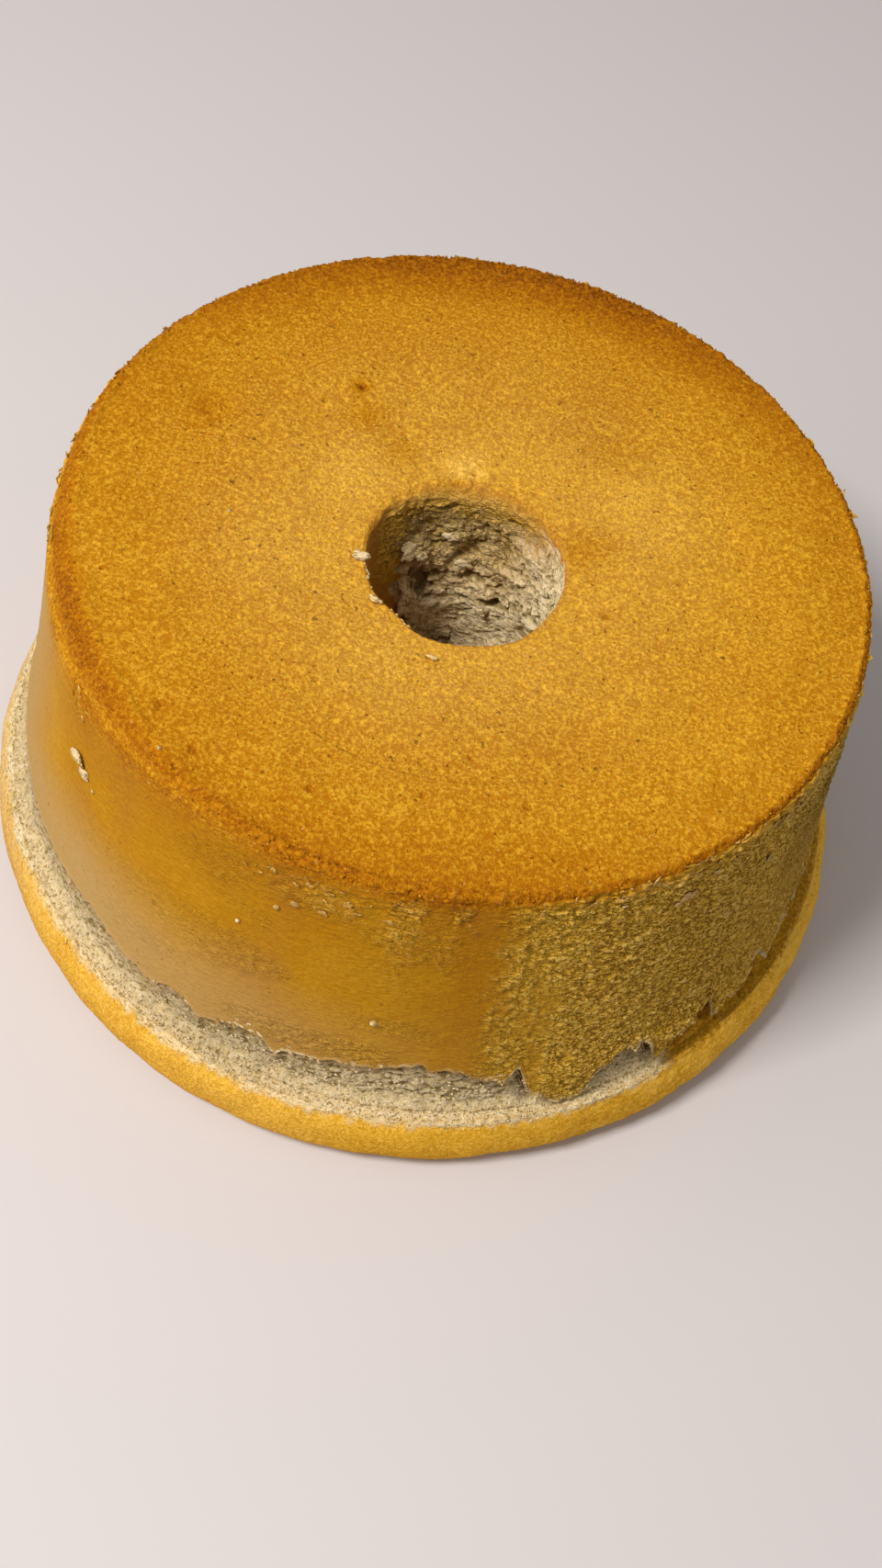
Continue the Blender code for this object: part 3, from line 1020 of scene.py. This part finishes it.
def hole_shreds():
    """Flakes and shreds of torn crumb that stand out from the hole's wall."""
    draw = random.Random(RANDOM_SEED + 5)
    for angle, height, width, length, turn in HOLE_FLAKES:
        place, out = in_hole(angle, height * MM, 0.5 * MM)
        facing = tilted(0.35 * UP - out, draw, 0.2)
        size = width, length, 0.9
        # The large flakes take a little painted shade.
        yield Crumb(place, facing, size, Tones(bare=1, shade=0.05), math.radians(turn))
    for _ in range(70):
        angle = draw.uniform(-80, -25)
        height = HEIGHT - TOP_SAG - draw.uniform(0.2, 1.5) * MM
        place, out = in_hole(angle, height, draw.uniform(-0.4, 0.1) * MM)
        size = drawn(draw, (0.4, 1.1), (0.3, 0.8), (0.3, 0.6))
        facing = tilted(UP - out, draw, 0.6)
        yield Crumb(place, facing, size, Tones(brown=0.1, bare=draw.uniform(0.3, 1)))
    for _ in range(1100):
        angle = draw.uniform(-180, 180)
        height = HEIGHT - (6 + 86 * draw.random() ** 1.5) * MM
        if draw.random() > torn_open(angle):
            continue
        place, out = in_hole(angle, height, draw.uniform(-0.15, 0.1) * MM)
        size = drawn(draw, (0.5, 1.9), (0.4, 1.1), (0.2, 0.45))
        facing = tilted(0.4 * UP - out, draw, 0.5)
        yield Crumb(place, facing, size, hole_tones(None, angle, place), draw.uniform(-0.6, 0.6))


# Single crumbs and flakes stuck to the side:
# (angle, depth, width, height, thickness, paleness, turn in degrees)
SIDE_CRUMBS = (
    (-49.8, 25.0, 5.6, 3.2, 1.4, 0.7, 15), (-47.8, 27.0, 3.6, 2.4, 1.0, 0.6, 25),
    (-45.5, 28.5, 0.9, 1.3, 0.5, 0.5, 40), (-11.7, 14, 1.8, 1.4, 0.9, 0.05, 0),
    (-14, 17.5, 1.6, 1.3, 0.9, 0.10, 0), (-8, 13.5, 2.0, 1.2, 0.6, 0.0, 10),
    (-18.7, 28, 1.1, 1.0, 0.8, 1.0, 0), (1, 46, 1.7, 1.7, 1.2, 0.7, 20),
    (40, 12, 3.4, 2.3, 0.6, 0.12, 15), (38.5, 13.4, 1.8, 1.5, 0.5, 0.15, 0),
    (48.7, 28, 1.8, 1.9, 0.8, 0.12, 0), (55.4, 19, 1.6, 2.6, 0.6, 0.2, 10),
    (56.5, 7, 3.0, 1.6, 0.5, 0.2, 12), (58.5, 6, 2.4, 1.6, 0.5, 0.25, -8),
    (61, 8.5, 2.6, 1.4, 0.4, 0.2, 5), (66, 5.5, 2.8, 1.2, 0.4, 0.6, 10),
    (69, 4.5, 2.2, 1.0, 0.4, 0.5, 0), (30, 7, 1.5, 0.8, 0.5, 0.4, 0),
    (24, 5, 1.2, 0.8, 0.4, 0.3, 0), (44, 8, 1.7, 1.0, 0.4, 0.4, 0),
    (130, 33, 2.0, 1.6, 0.8, 0.5, 30), (171, 18, 3.2, 1.5, 0.6, 0.4, 12),
    (214, 44, 1.7, 1.7, 1.0, 0.7, 0), (243, 24, 1.8, 4.2, 0.6, 0.6, 50),
)

# Single crumbs on the top: (x, y, width, length, thickness, paleness), in millimetres
TOP_CRUMBS = (
    (-21.9, -9.6, 3.2, 2.0, 1.5, 1.0), (-20.6, -9.0, 1.5, 1.3, 1.2, 1.0),
    (-22.6, -10.4, 1.4, 1.2, 1.0, 1.0), (-16.7, -20.4, 1.9, 1.4, 1.1, 0.9),
    (-15.4, -20.6, 1.0, 0.9, 0.9, 0.9), (-17.6, -19.6, 1.1, 1.0, 0.8, 0.9),
    (-8.6, -25.4, 1.0, 0.8, 0.6, 0.7), (-2.4, -32.2, 2.2, 1.2, 1.0, 0.6),
    (-51, -6, 0.9, 0.8, 0.6, 0.9), (-50, -68.5, 1.0, 0.9, 0.7, 1.0),
)

# Single crumbs on the brim: (angle, turn down from level in degrees, width), in millimetres
BRIM_CRUMBS = (
    (-84, -18, 3.0), (-82, -26, 1.6), (-41, -42, 2.2),
    (-39.5, -50, 1.3), (32, -52, 1.3), (43, -50, 1.2),
)


def stuck_crumbs():
    """The larger crumbs and flakes that cling to the side, the top and the brim."""
    for angle, down, width, height, thick, pale, turn in SIDE_CRUMBS:
        place = on_wall(angle, down * MM, 0.25 * thick * MM)
        shown = Tones(brown=0.3, beige=0.8, rough=0.1, bare=pale, skin=1)
        yield Crumb(place, outwards_at(angle), (width, height, thick), shown, math.radians(turn))
    for x, y, width, length, thick, pale in TOP_CRUMBS:
        place = Vector((x, y, 0.2 * thick)) * MM
        away = math.hypot(place.x, place.y) / TOP_RADIUS
        place.z += HEIGHT - TOP_SAG * max(0, 1.15 - away) ** 2
        yield Crumb(place, UP, (width, length, thick), Tones(brown=0.1, bare=pale))
    for angle, turn, width in BRIM_CRUMBS:
        size = width, 0.7 * width, 0.5 * width
        yield Crumb(*on_brim(angle, math.radians(turn)), size, Tones(brown=0.1, bare=0.6))


def new_material(name, roughness):
    """A material with a Principled shader and the tree of its nodes."""
    material = bpy.data.materials.new(name)
    material.use_nodes = True
    shader = material.node_tree.nodes["Principled BSDF"]
    shader.inputs["Roughness"].default_value = roughness
    shader.inputs["Specular IOR Level"].default_value = 0.05
    return material, shader, material.node_tree


def plug(tree, value, socket):
    """Sets a socket to a number or a colour, or links it to another node's output."""
    if isinstance(value, bpy.types.NodeSocket):
        tree.links.new(value, socket)
    elif isinstance(value, tuple):
        socket.default_value = (*value, 1)
    else:
        socket.default_value = value


def ramp(tree, value, stops):
    """A colour from a ramp with (position, colour) stops."""
    node = tree.nodes.new("ShaderNodeValToRGB")
    elements = node.color_ramp.elements
    while len(elements) < len(stops):
        elements.new(0.5)
    for element, (position, colour) in zip(elements, stops):
        element.position = position
        element.color = (*colour, 1)
    plug(tree, value, node.inputs["Fac"])
    return node.outputs["Color"]


MIX_INPUTS = 0, 6, 7        # where a Mix node takes its share and its two colours
MIX_OUTPUT = 2


def mix(tree, share, below, above):
    """The colour above laid over the colour below by a share."""
    node = tree.nodes.new("ShaderNodeMix")
    node.data_type = "RGBA"
    for value, i in zip((share, below, above), MIX_INPUTS):
        plug(tree, value, node.inputs[i])
    return node.outputs[MIX_OUTPUT]


def sums(tree, operation, *values):
    """One step of arithmetic on values over the surface."""
    node = tree.nodes.new("ShaderNodeMath")
    node.operation = operation
    for value, socket in zip(values, node.inputs):
        plug(tree, value, socket)
    return node.outputs[0]


def times(tree, value, factor):
    """Two values multiplied."""
    return sums(tree, "MULTIPLY", value, factor)


def between(tree, value, low, high):
    """0 at low, 1 at high, with a soft start and end."""
    node = tree.nodes.new("ShaderNodeMapRange")
    node.interpolation_type = "SMOOTHSTEP"
    plug(tree, value, node.inputs["Value"])
    node.inputs["From Min"].default_value = low
    node.inputs["From Max"].default_value = high
    return node.outputs["Result"]


def attribute(tree, name):
    """A tone that the mesh carries."""
    node = tree.nodes.new("ShaderNodeAttribute")
    node.attribute_name = name
    return node.outputs["Fac"]


def shifted(tree, vector, offset, stretch=(1, 1, 1)):
    """The place moved and stretched, so that another pattern falls elsewhere."""
    node = tree.nodes.new("ShaderNodeMapping")
    plug(tree, vector, node.inputs["Vector"])
    node.inputs["Location"].default_value = offset
    node.inputs["Scale"].default_value = stretch
    return node.outputs["Vector"]


def clouds(tree, vector, scale, detail, roughness=0.5):
    """Cloudy noise of about 0 to 1."""
    node = tree.nodes.new("ShaderNodeTexNoise")
    node.inputs["Detail"].default_value = detail
    node.inputs["Roughness"].default_value = roughness
    plug(tree, vector, node.inputs["Vector"])
    plug(tree, scale, node.inputs["Scale"])
    return node.outputs["Fac"]


# What the sockets of the groups carry, where it is more than a number
SOCKET_KINDS = {
    "Place": "NodeSocketVector",
    "Colour": "NodeSocketColor",
    "Hollow": "NodeSocketColor",
    "Ridge": "NodeSocketColor",
}


def new_group(name, inputs, outputs):
    """A shader node group with those sockets, and what comes in through its inputs."""
    group = bpy.data.node_groups.new(name, "ShaderNodeTree")
    for labels, side in ((inputs, "INPUT"), (outputs, "OUTPUT")):
        for label in labels:
            kind = SOCKET_KINDS.get(label, "NodeSocketFloat")
            group.interface.new_socket(label, in_out=side, socket_type=kind)
    return group, group.nodes.new("NodeGroupInput").outputs


def put_out(group, **values):
    """The group, with the values linked to its outputs."""
    node = group.nodes.new("NodeGroupOutput")
    for label, value in values.items():
        group.links.new(value, node.inputs[label])
    return group


def use_group(tree, group, **values):
    """A group placed in a material or another group, with its own values."""
    node = tree.nodes.new("ShaderNodeGroup")
    node.node_tree = group
    for label, value in values.items():
        plug(tree, value, node.inputs[label])
    return node.outputs


# Colours that the surfaces give back (red, green, blue), and the painted shade and highlights laid
# over them
GOLD = (
    (0.00, (0.90, 0.53, 0.070)),
    (0.16, (0.80, 0.41, 0.018)),
    (0.30, (0.62, 0.315, 0.018)),
    (0.50, (0.48, 0.192, 0.0035)),
    (0.75, (0.34, 0.108, 0.002)),
    (1.00, (0.15, 0.040, 0.001)),
)
OCHRE = (
    (0.10, (0.54, 0.28, 0.016)),
    (0.35, (0.48, 0.22, 0.004)),
    (0.70, (0.38, 0.145, 0.002)),
    (1.00, (0.22, 0.075, 0.001)),
)
BEIGE = (0.48, 0.300, 0.100)
KHAKI = (0.82, 0.485, 0.050)
# GRAIN_DARK_AND_SHADE darkens grain and pits and is painted shade in hollows; HOLLOW_SHADE is
# painted shade in hollows; RIDGE_HIGHLIGHT is a painted highlight on ridges.
GRAIN_DARK_AND_SHADE = (0.18, 0.085, 0.004)
HOLLOW_SHADE = (0.27, 0.128, 0.009)
RIDGE_HIGHLIGHT = (0.84, 0.570, 0.145)
PIT = (0.15, 0.042, 0.002)
# Pale specks: partly pale grains, partly painted glints of sugar and fat.
SPECK_AND_GLINT = (0.85, 0.60, 0.20)
CREAM = (0.90, 0.75, 0.47)
CRUMB = (0.72, 0.555, 0.27)
# PORE_AND_SHADE colours the crumb's pores and is painted shade in its hollows; CREAM is also its
# painted highlight on ridges.
PORE_AND_SHADE = (0.25, 0.175, 0.040)
# Painted shade, laid over every colour by the shade tone
PAINTED_SHADE = (0.10, 0.050, 0.004)


def make_sponge_grain():
    """Fine baked grain: mottling, uneven dark pits, pale specks that are partly painted glints, and
    the height of it all.
    """
    inputs = "Place", "Scale", "Pits"
    group, given = new_group("sponge_grain", inputs, ("Mottle", "Pits", "Specks", "Height"))
    place, scale = given["Place"], given["Scale"]
    spread = times(group, scale, 0.50)
    coarse = clouds(group, shifted(group, place, (0.07, 0.23, 0.3)), spread, 3, 0.65)
    fine = clouds(group, place, scale, 3, 0.75)
    both = sums(group, "MULTIPLY_ADD", coarse, 0.3, times(group, fine, 0.7))
    mottle = between(group, both, 0.35, 0.65)
    hollow = clouds(group, shifted(group, place, (0.31, 0.12, 0.07)), spread, 2)
    pits = times(group, between(group, hollow, 0.325, 0.265), given["Pits"])
    bright = clouds(group, shifted(group, place, (0.17, 0.41, 0.23)), scale, 2)
    specks = between(group, bright, 0.66, 0.76)
    height = sums(group, "SUBTRACT", mottle, times(group, pits, 1.5))
    return put_out(group, Mottle=mottle, Pits=pits, Specks=specks, Height=height)


def make_skin_wrinkles():
    """Lying worm-like wrinkles with thin furrows between them: 1 on a wrinkle and 0 in a furrow."""
    group, given = new_group("skin_wrinkles", ("Place", "Scale"), ("Ridges",))
    flat = shifted(group, given["Place"], (0, 0, 0), (1, 1, 2.3))
    waves = clouds(group, flat, given["Scale"], 2)
    away = sums(group, "ABSOLUTE", sums(group, "SUBTRACT", waves, 0.5))
    return put_out(group, Ridges=between(group, away, 0.0, 0.085))


def make_relief_shade_and_highlight():
    """Painted shade in the hollows of the mesh's relief and painted highlights on its ridges, over
    a colour.
    """
    inputs = "Colour", "Relief", "Amount", "Hollow", "Ridge"
    group, given = new_group("relief_shade_and_highlight", inputs, ("Colour",))
    hollow = times(group, between(group, given["Relief"], 0.5, 0.15), given["Amount"])
    ridge = times(group, between(group, given["Relief"], 0.55, 0.95), given["Amount"])
    colour = mix(group, hollow, given["Colour"], given["Hollow"])
    return put_out(group, Colour=mix(group, ridge, colour, given["Ridge"]))


def make_golden_colour():
    """The top's golden colour: browning with mottling, pits, and pale specks that are partly
    painted glints, laid over it.
    """
    inputs = "Brown", "Mottle", "Pits", "Specks"
    group, given = new_group("golden_colour", inputs, ("Colour",))
    shade = sums(group, "MULTIPLY_ADD", given["Mottle"], -0.42, given["Brown"])
    colour = ramp(group, sums(group, "ADD", shade, 0.205), GOLD)
    colour = mix(group, times(group, given["Pits"], 0.7), colour, PIT)
    return put_out(group, Colour=mix(group, times(group, given["Specks"], 0.4), colour, SPECK_AND_GLINT))


def make_wiped_streaks():
    """Fine level streaks that the pan's wall left on smooth skin, from 0 to 1."""
    group, given = new_group("wiped_streaks", ("Place",), ("Streaks",))
    flat = shifted(group, given["Place"], (0.5, 0.2, 0.1), (1, 1, 3.2))
    return put_out(group, Streaks=between(group, clouds(group, flat, 420, 4, 0.6), 0.25, 0.75))


def make_skin_colour():
    """The side's skin: smooth ochre or beige, or khaki wrinkles with painted shade in their
    hollows.
    """
    inputs = "Brown", "Beige", "Rough", "Relief", "Mottle", "Pits", "Ridges", "Streaks"
    group, given = new_group("skin_colour", inputs, ("Colour",))
    mottle = times(group, given["Mottle"], 0.20)
    grains = sums(group, "MULTIPLY_ADD", given["Streaks"], 0.14, mottle)
    shade = sums(group, "SUBTRACT", sums(group, "ADD", given["Brown"], 0.17), grains)
    smooth_skin = mix(group, given["Beige"], ramp(group, shade, OCHRE), BEIGE)
    darker = times(group, sums(group, "SUBTRACT", 0.34, grains), 0.5)
    colour = mix(group, darker, smooth_skin, GRAIN_DARK_AND_SHADE)
    coarse = between(group, given["Rough"], 0.2, 0.95)
    colour = mix(group, times(group, coarse, 0.78), colour, KHAKI)
    # The shader's wrinkles join the relief, so their furrows take painted shade and their tops
    # painted highlights.
    ridge = sums(group, "SUBTRACT", given["Ridges"], 0.70)
    fine = sums(group, "MULTIPLY_ADD", ridge, 0.75, given["Relief"])
    amount = sums(group, "MULTIPLY_ADD", coarse, 0.35, times(group, given["Rough"], 0.50))
    wear_and_relief_shade = use_group(group, relief_shade_and_highlight, Colour=colour, Relief=fine, Amount=amount, Hollow=HOLLOW_SHADE,
                     Ridge=RIDGE_HIGHLIGHT)
    pits = times(group, given["Pits"], 0.45)
    return put_out(group, Colour=mix(group, pits, wear_and_relief_shade["Colour"], GRAIN_DARK_AND_SHADE))


def make_crumb_colour():
    """Bare crumb: cream with lying pores, or upright tufts, and the height of both."""
    inputs = "Place", "Relief", "Tufts"
    group, given = new_group("crumb_colour", inputs, ("Colour", "Height"))
    cloud = clouds(group, given["Place"], 850, 5, 0.65)
    colour = mix(group, between(group, cloud, 0.36, 0.62), CRUMB, CREAM)
    lying = clouds(group, shifted(group, given["Place"], (0.2, 0.1, 0.3), (1, 1, 2.6)), 850, 3)
    upright = clouds(group, shifted(group, given["Place"], (0.4, 0.3, 0.1), (1, 1, 0.4)), 1900, 2)
    turned = sums(group, "SUBTRACT", upright, lying)
    holes = sums(group, "MULTIPLY_ADD", given["Tufts"], turned, lying)
    pores = between(group, holes, 0.46, 0.34)
    colour = mix(group, times(group, pores, 0.8), colour, PORE_AND_SHADE)
    # Painted shade in the crumb's hollows and painted highlights on its ridges.
    wear_and_relief_shade = use_group(group, relief_shade_and_highlight, Colour=colour, Relief=given["Relief"], Amount=0.7,
                     Hollow=PORE_AND_SHADE, Ridge=CREAM)
    return put_out(group, Colour=wear_and_relief_shade["Colour"], Height=sums(group, "SUBTRACT", cloud, pores))


def baked_material(name, scale, pits, bump_distance, has_skin):
    """Golden crust that turns to bare crumb, or to the side's skin, where the mesh says so."""
    material, shader, tree = new_material(name, 0.78)
    where = tree.nodes.new("ShaderNodeTexCoord").outputs["Object"]
    brown = attribute(tree, "brown")
    rough = attribute(tree, "rough")
    bare = attribute(tree, "bare")
    high = attribute(tree, "relief")
    baked = use_group(tree, sponge_grain, Place=where, Scale=scale, Pits=pits)
    crust = use_group(tree, golden_colour, Brown=brown, Mottle=baked["Mottle"], Pits=baked["Pits"],
                      Specks=baked["Specks"])
    # Painted shade in the hollows of the creased and wrinkled relief, and painted highlights on its
    # ridges.
    wear_and_relief_shade = use_group(tree, relief_shade_and_highlight, Colour=crust["Colour"], Relief=high,
                     Amount=times(tree, rough, 0.6), Hollow=GRAIN_DARK_AND_SHADE, Ridge=RIDGE_HIGHLIGHT)
    colour = wear_and_relief_shade["Colour"]
    height = baked["Height"]
    if has_skin:
        share = attribute(tree, "skin")
        ridges = use_group(tree, skin_wrinkles, Place=where, Scale=560)["Ridges"]
        streaks = use_group(tree, wiped_streaks, Place=where)["Streaks"]
        side = use_group(tree, skin_colour, Brown=brown, Beige=attribute(tree, "beige"),
                         Rough=rough, Relief=high, Mottle=baked["Mottle"], Pits=baked["Pits"],
                         Ridges=ridges, Streaks=streaks)
        colour = mix(tree, share, colour, side["Colour"])
        wrinkles = times(tree, times(tree, ridges, rough), share)
        wiped = times(tree, times(tree, streaks, 0.7), share)
        calm = sums(tree, "MULTIPLY_ADD", sums(tree, "SUBTRACT", rough, 0.8), share, 1)
        height = sums(tree, "MULTIPLY_ADD", wrinkles, 3.4, times(tree, height, calm))
        height = sums(tree, "ADD", height, wiped)
    torn = use_group(tree, crumb_colour, Place=where, Relief=high, Tufts=rough)
    colour = mix(tree, bare, colour, torn["Colour"])
    height = sums(tree, "MULTIPLY_ADD", times(tree, bare, 1.8), torn["Height"], height)
    # Painted shade: the shade tone darkens the colour towards a dark brown.
    colour = mix(tree, times(tree, attribute(tree, "shade"), 0.9), colour, PAINTED_SHADE)
    tree.links.new(colour, shader.inputs["Base Color"])
    bumps = tree.nodes.new("ShaderNodeBump")
    bumps.inputs["Strength"].default_value = 0.7
    bumps.inputs["Distance"].default_value = bump_distance
    tree.links.new(height, bumps.inputs["Height"])
    tree.links.new(bumps.outputs["Normal"], shader.inputs["Normal"])
    return material


def paint(piece, material, slot):
    """Gives a piece its material, hangs it on the root body and hides the solid cake."""
    piece.data.materials.append(material)
    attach(piece, "root")
    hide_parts("cake")


def add_camera():
    """The photograph's viewpoint."""
    camera = new_object("camera", bpy.data.cameras.new("camera"))
    camera.data.lens = CAMERA_LENS
    camera.data.clip_start = 0.01
    aim = (CAMERA_AIM - CAMERA_PLACE).to_track_quat("-Z", "Y")
    camera.rotation_mode = "QUATERNION"
    camera.rotation_quaternion = aim @ Quaternion(UP, math.radians(CAMERA_ROLL))
    camera.location = CAMERA_PLACE
    bpy.context.scene.camera = camera


def add_light(name, place, size, power, colour):
    """A square soft light that points at the cake."""
    light = new_object(name, bpy.data.lights.new(name, "AREA"))
    light.data.size = size
    light.data.energy = power
    light.data.color = colour
    light.location = place
    aim = Vector((0, 0, 0.05)) - Vector(place)
    light.rotation_euler = aim.to_track_quat("-Z", "Y").to_euler()


def add_stage():
    """A pale floor, the room's light, a lamp high at the left and a broad soft light below it."""
    bm = bmesh.new()
    bmesh.ops.create_grid(bm, x_segments=1, y_segments=1, size=3)
    floor = new_object("floor", mesh_from(bm, "floor"))
    material, shader, _ = new_material("floor_paint", 0.6)
    shader.inputs["Base Color"].default_value = (0.625, 0.597, 0.600, 1)
    floor.data.materials.append(material)
    world = bpy.data.worlds.new("room")
    bpy.context.scene.world = world
    world.use_nodes = True
    sky = world.node_tree.nodes["Background"]
    sky.inputs["Color"].default_value = (1, 0.97, 0.95, 1)
    sky.inputs["Strength"].default_value = 0.38
    add_light("high_lamp", (-0.45, -0.38, 0.98), 0.25, 10.9, (1, 0.95, 0.91))
    add_light("side_light", (-1.1, -0.35, 0.50), 0.9, 3.1, (1, 0.96, 0.92))


bpy.context.scene.view_settings.view_transform = "Standard"
add_camera()
add_stage()

sponge_grain = make_sponge_grain()
skin_wrinkles = make_skin_wrinkles()
wiped_streaks = make_wiped_streaks()
relief_shade_and_highlight = make_relief_shade_and_highlight()
golden_colour = make_golden_colour()
skin_colour = make_skin_colour()
crumb_colour = make_crumb_colour()

golden = baked_material("golden_crust", 1350, 1.0, 0.30 * MM, has_skin=False)
skin = baked_material("side_skin", 1350, 0.9, 0.26 * MM, has_skin=True)
brim_crust = baked_material("brim_crust", 1700, 0.6, 0.18 * MM, has_skin=False)
crumb = baked_material("bare_crumb", 1350, 0.6, 0.30 * MM, has_skin=True)

# The rings of crust and crumb: name, steps round, outline, deepest relief, material and slot
RINGS = (
    ("top_crust", RING_STEPS, inner_crust_outline, 0.8, golden, "top_crust"),
    ("top_edge", RING_STEPS, outer_crust_outline, 0.8, skin, "top_crust"),
    ("side_skin", RING_STEPS, skin_outline, 0.8, skin, "side_skin"),
    ("bare_band", RING_STEPS, crumb_outline, 0.8, crumb, "crumb"),
    ("brim", RING_STEPS, brim_outline, 0.8, brim_crust, "brim_crust"),
    ("hole_wall", HOLE_STEPS, hole_outline, 1.4, crumb, "crumb"),
)
for name, steps, outline, deepest, material, slot in RINGS:
    paint(ring_piece(name, steps, outline, deepest), material, slot)

# The clinging crumbs: name, maker, material and slot
CLINGING = (
    ("tear_flakes", tear_flakes, skin, "side_skin"),
    ("edge_flakes", edge_flakes, skin, "side_skin"),
    ("band_crumbs", band_crumbs, crumb, "crumb"),
    ("brim_crumbs", brim_crumbs, brim_crust, "brim_crust"),
    ("hole_shreds", hole_shreds, crumb, "crumb"),
    ("stuck_crumbs", stuck_crumbs, crumb, "crumb"),
)
for name, maker, material, slot in CLINGING:
    paint(crumb_piece(name, maker()), material, slot)
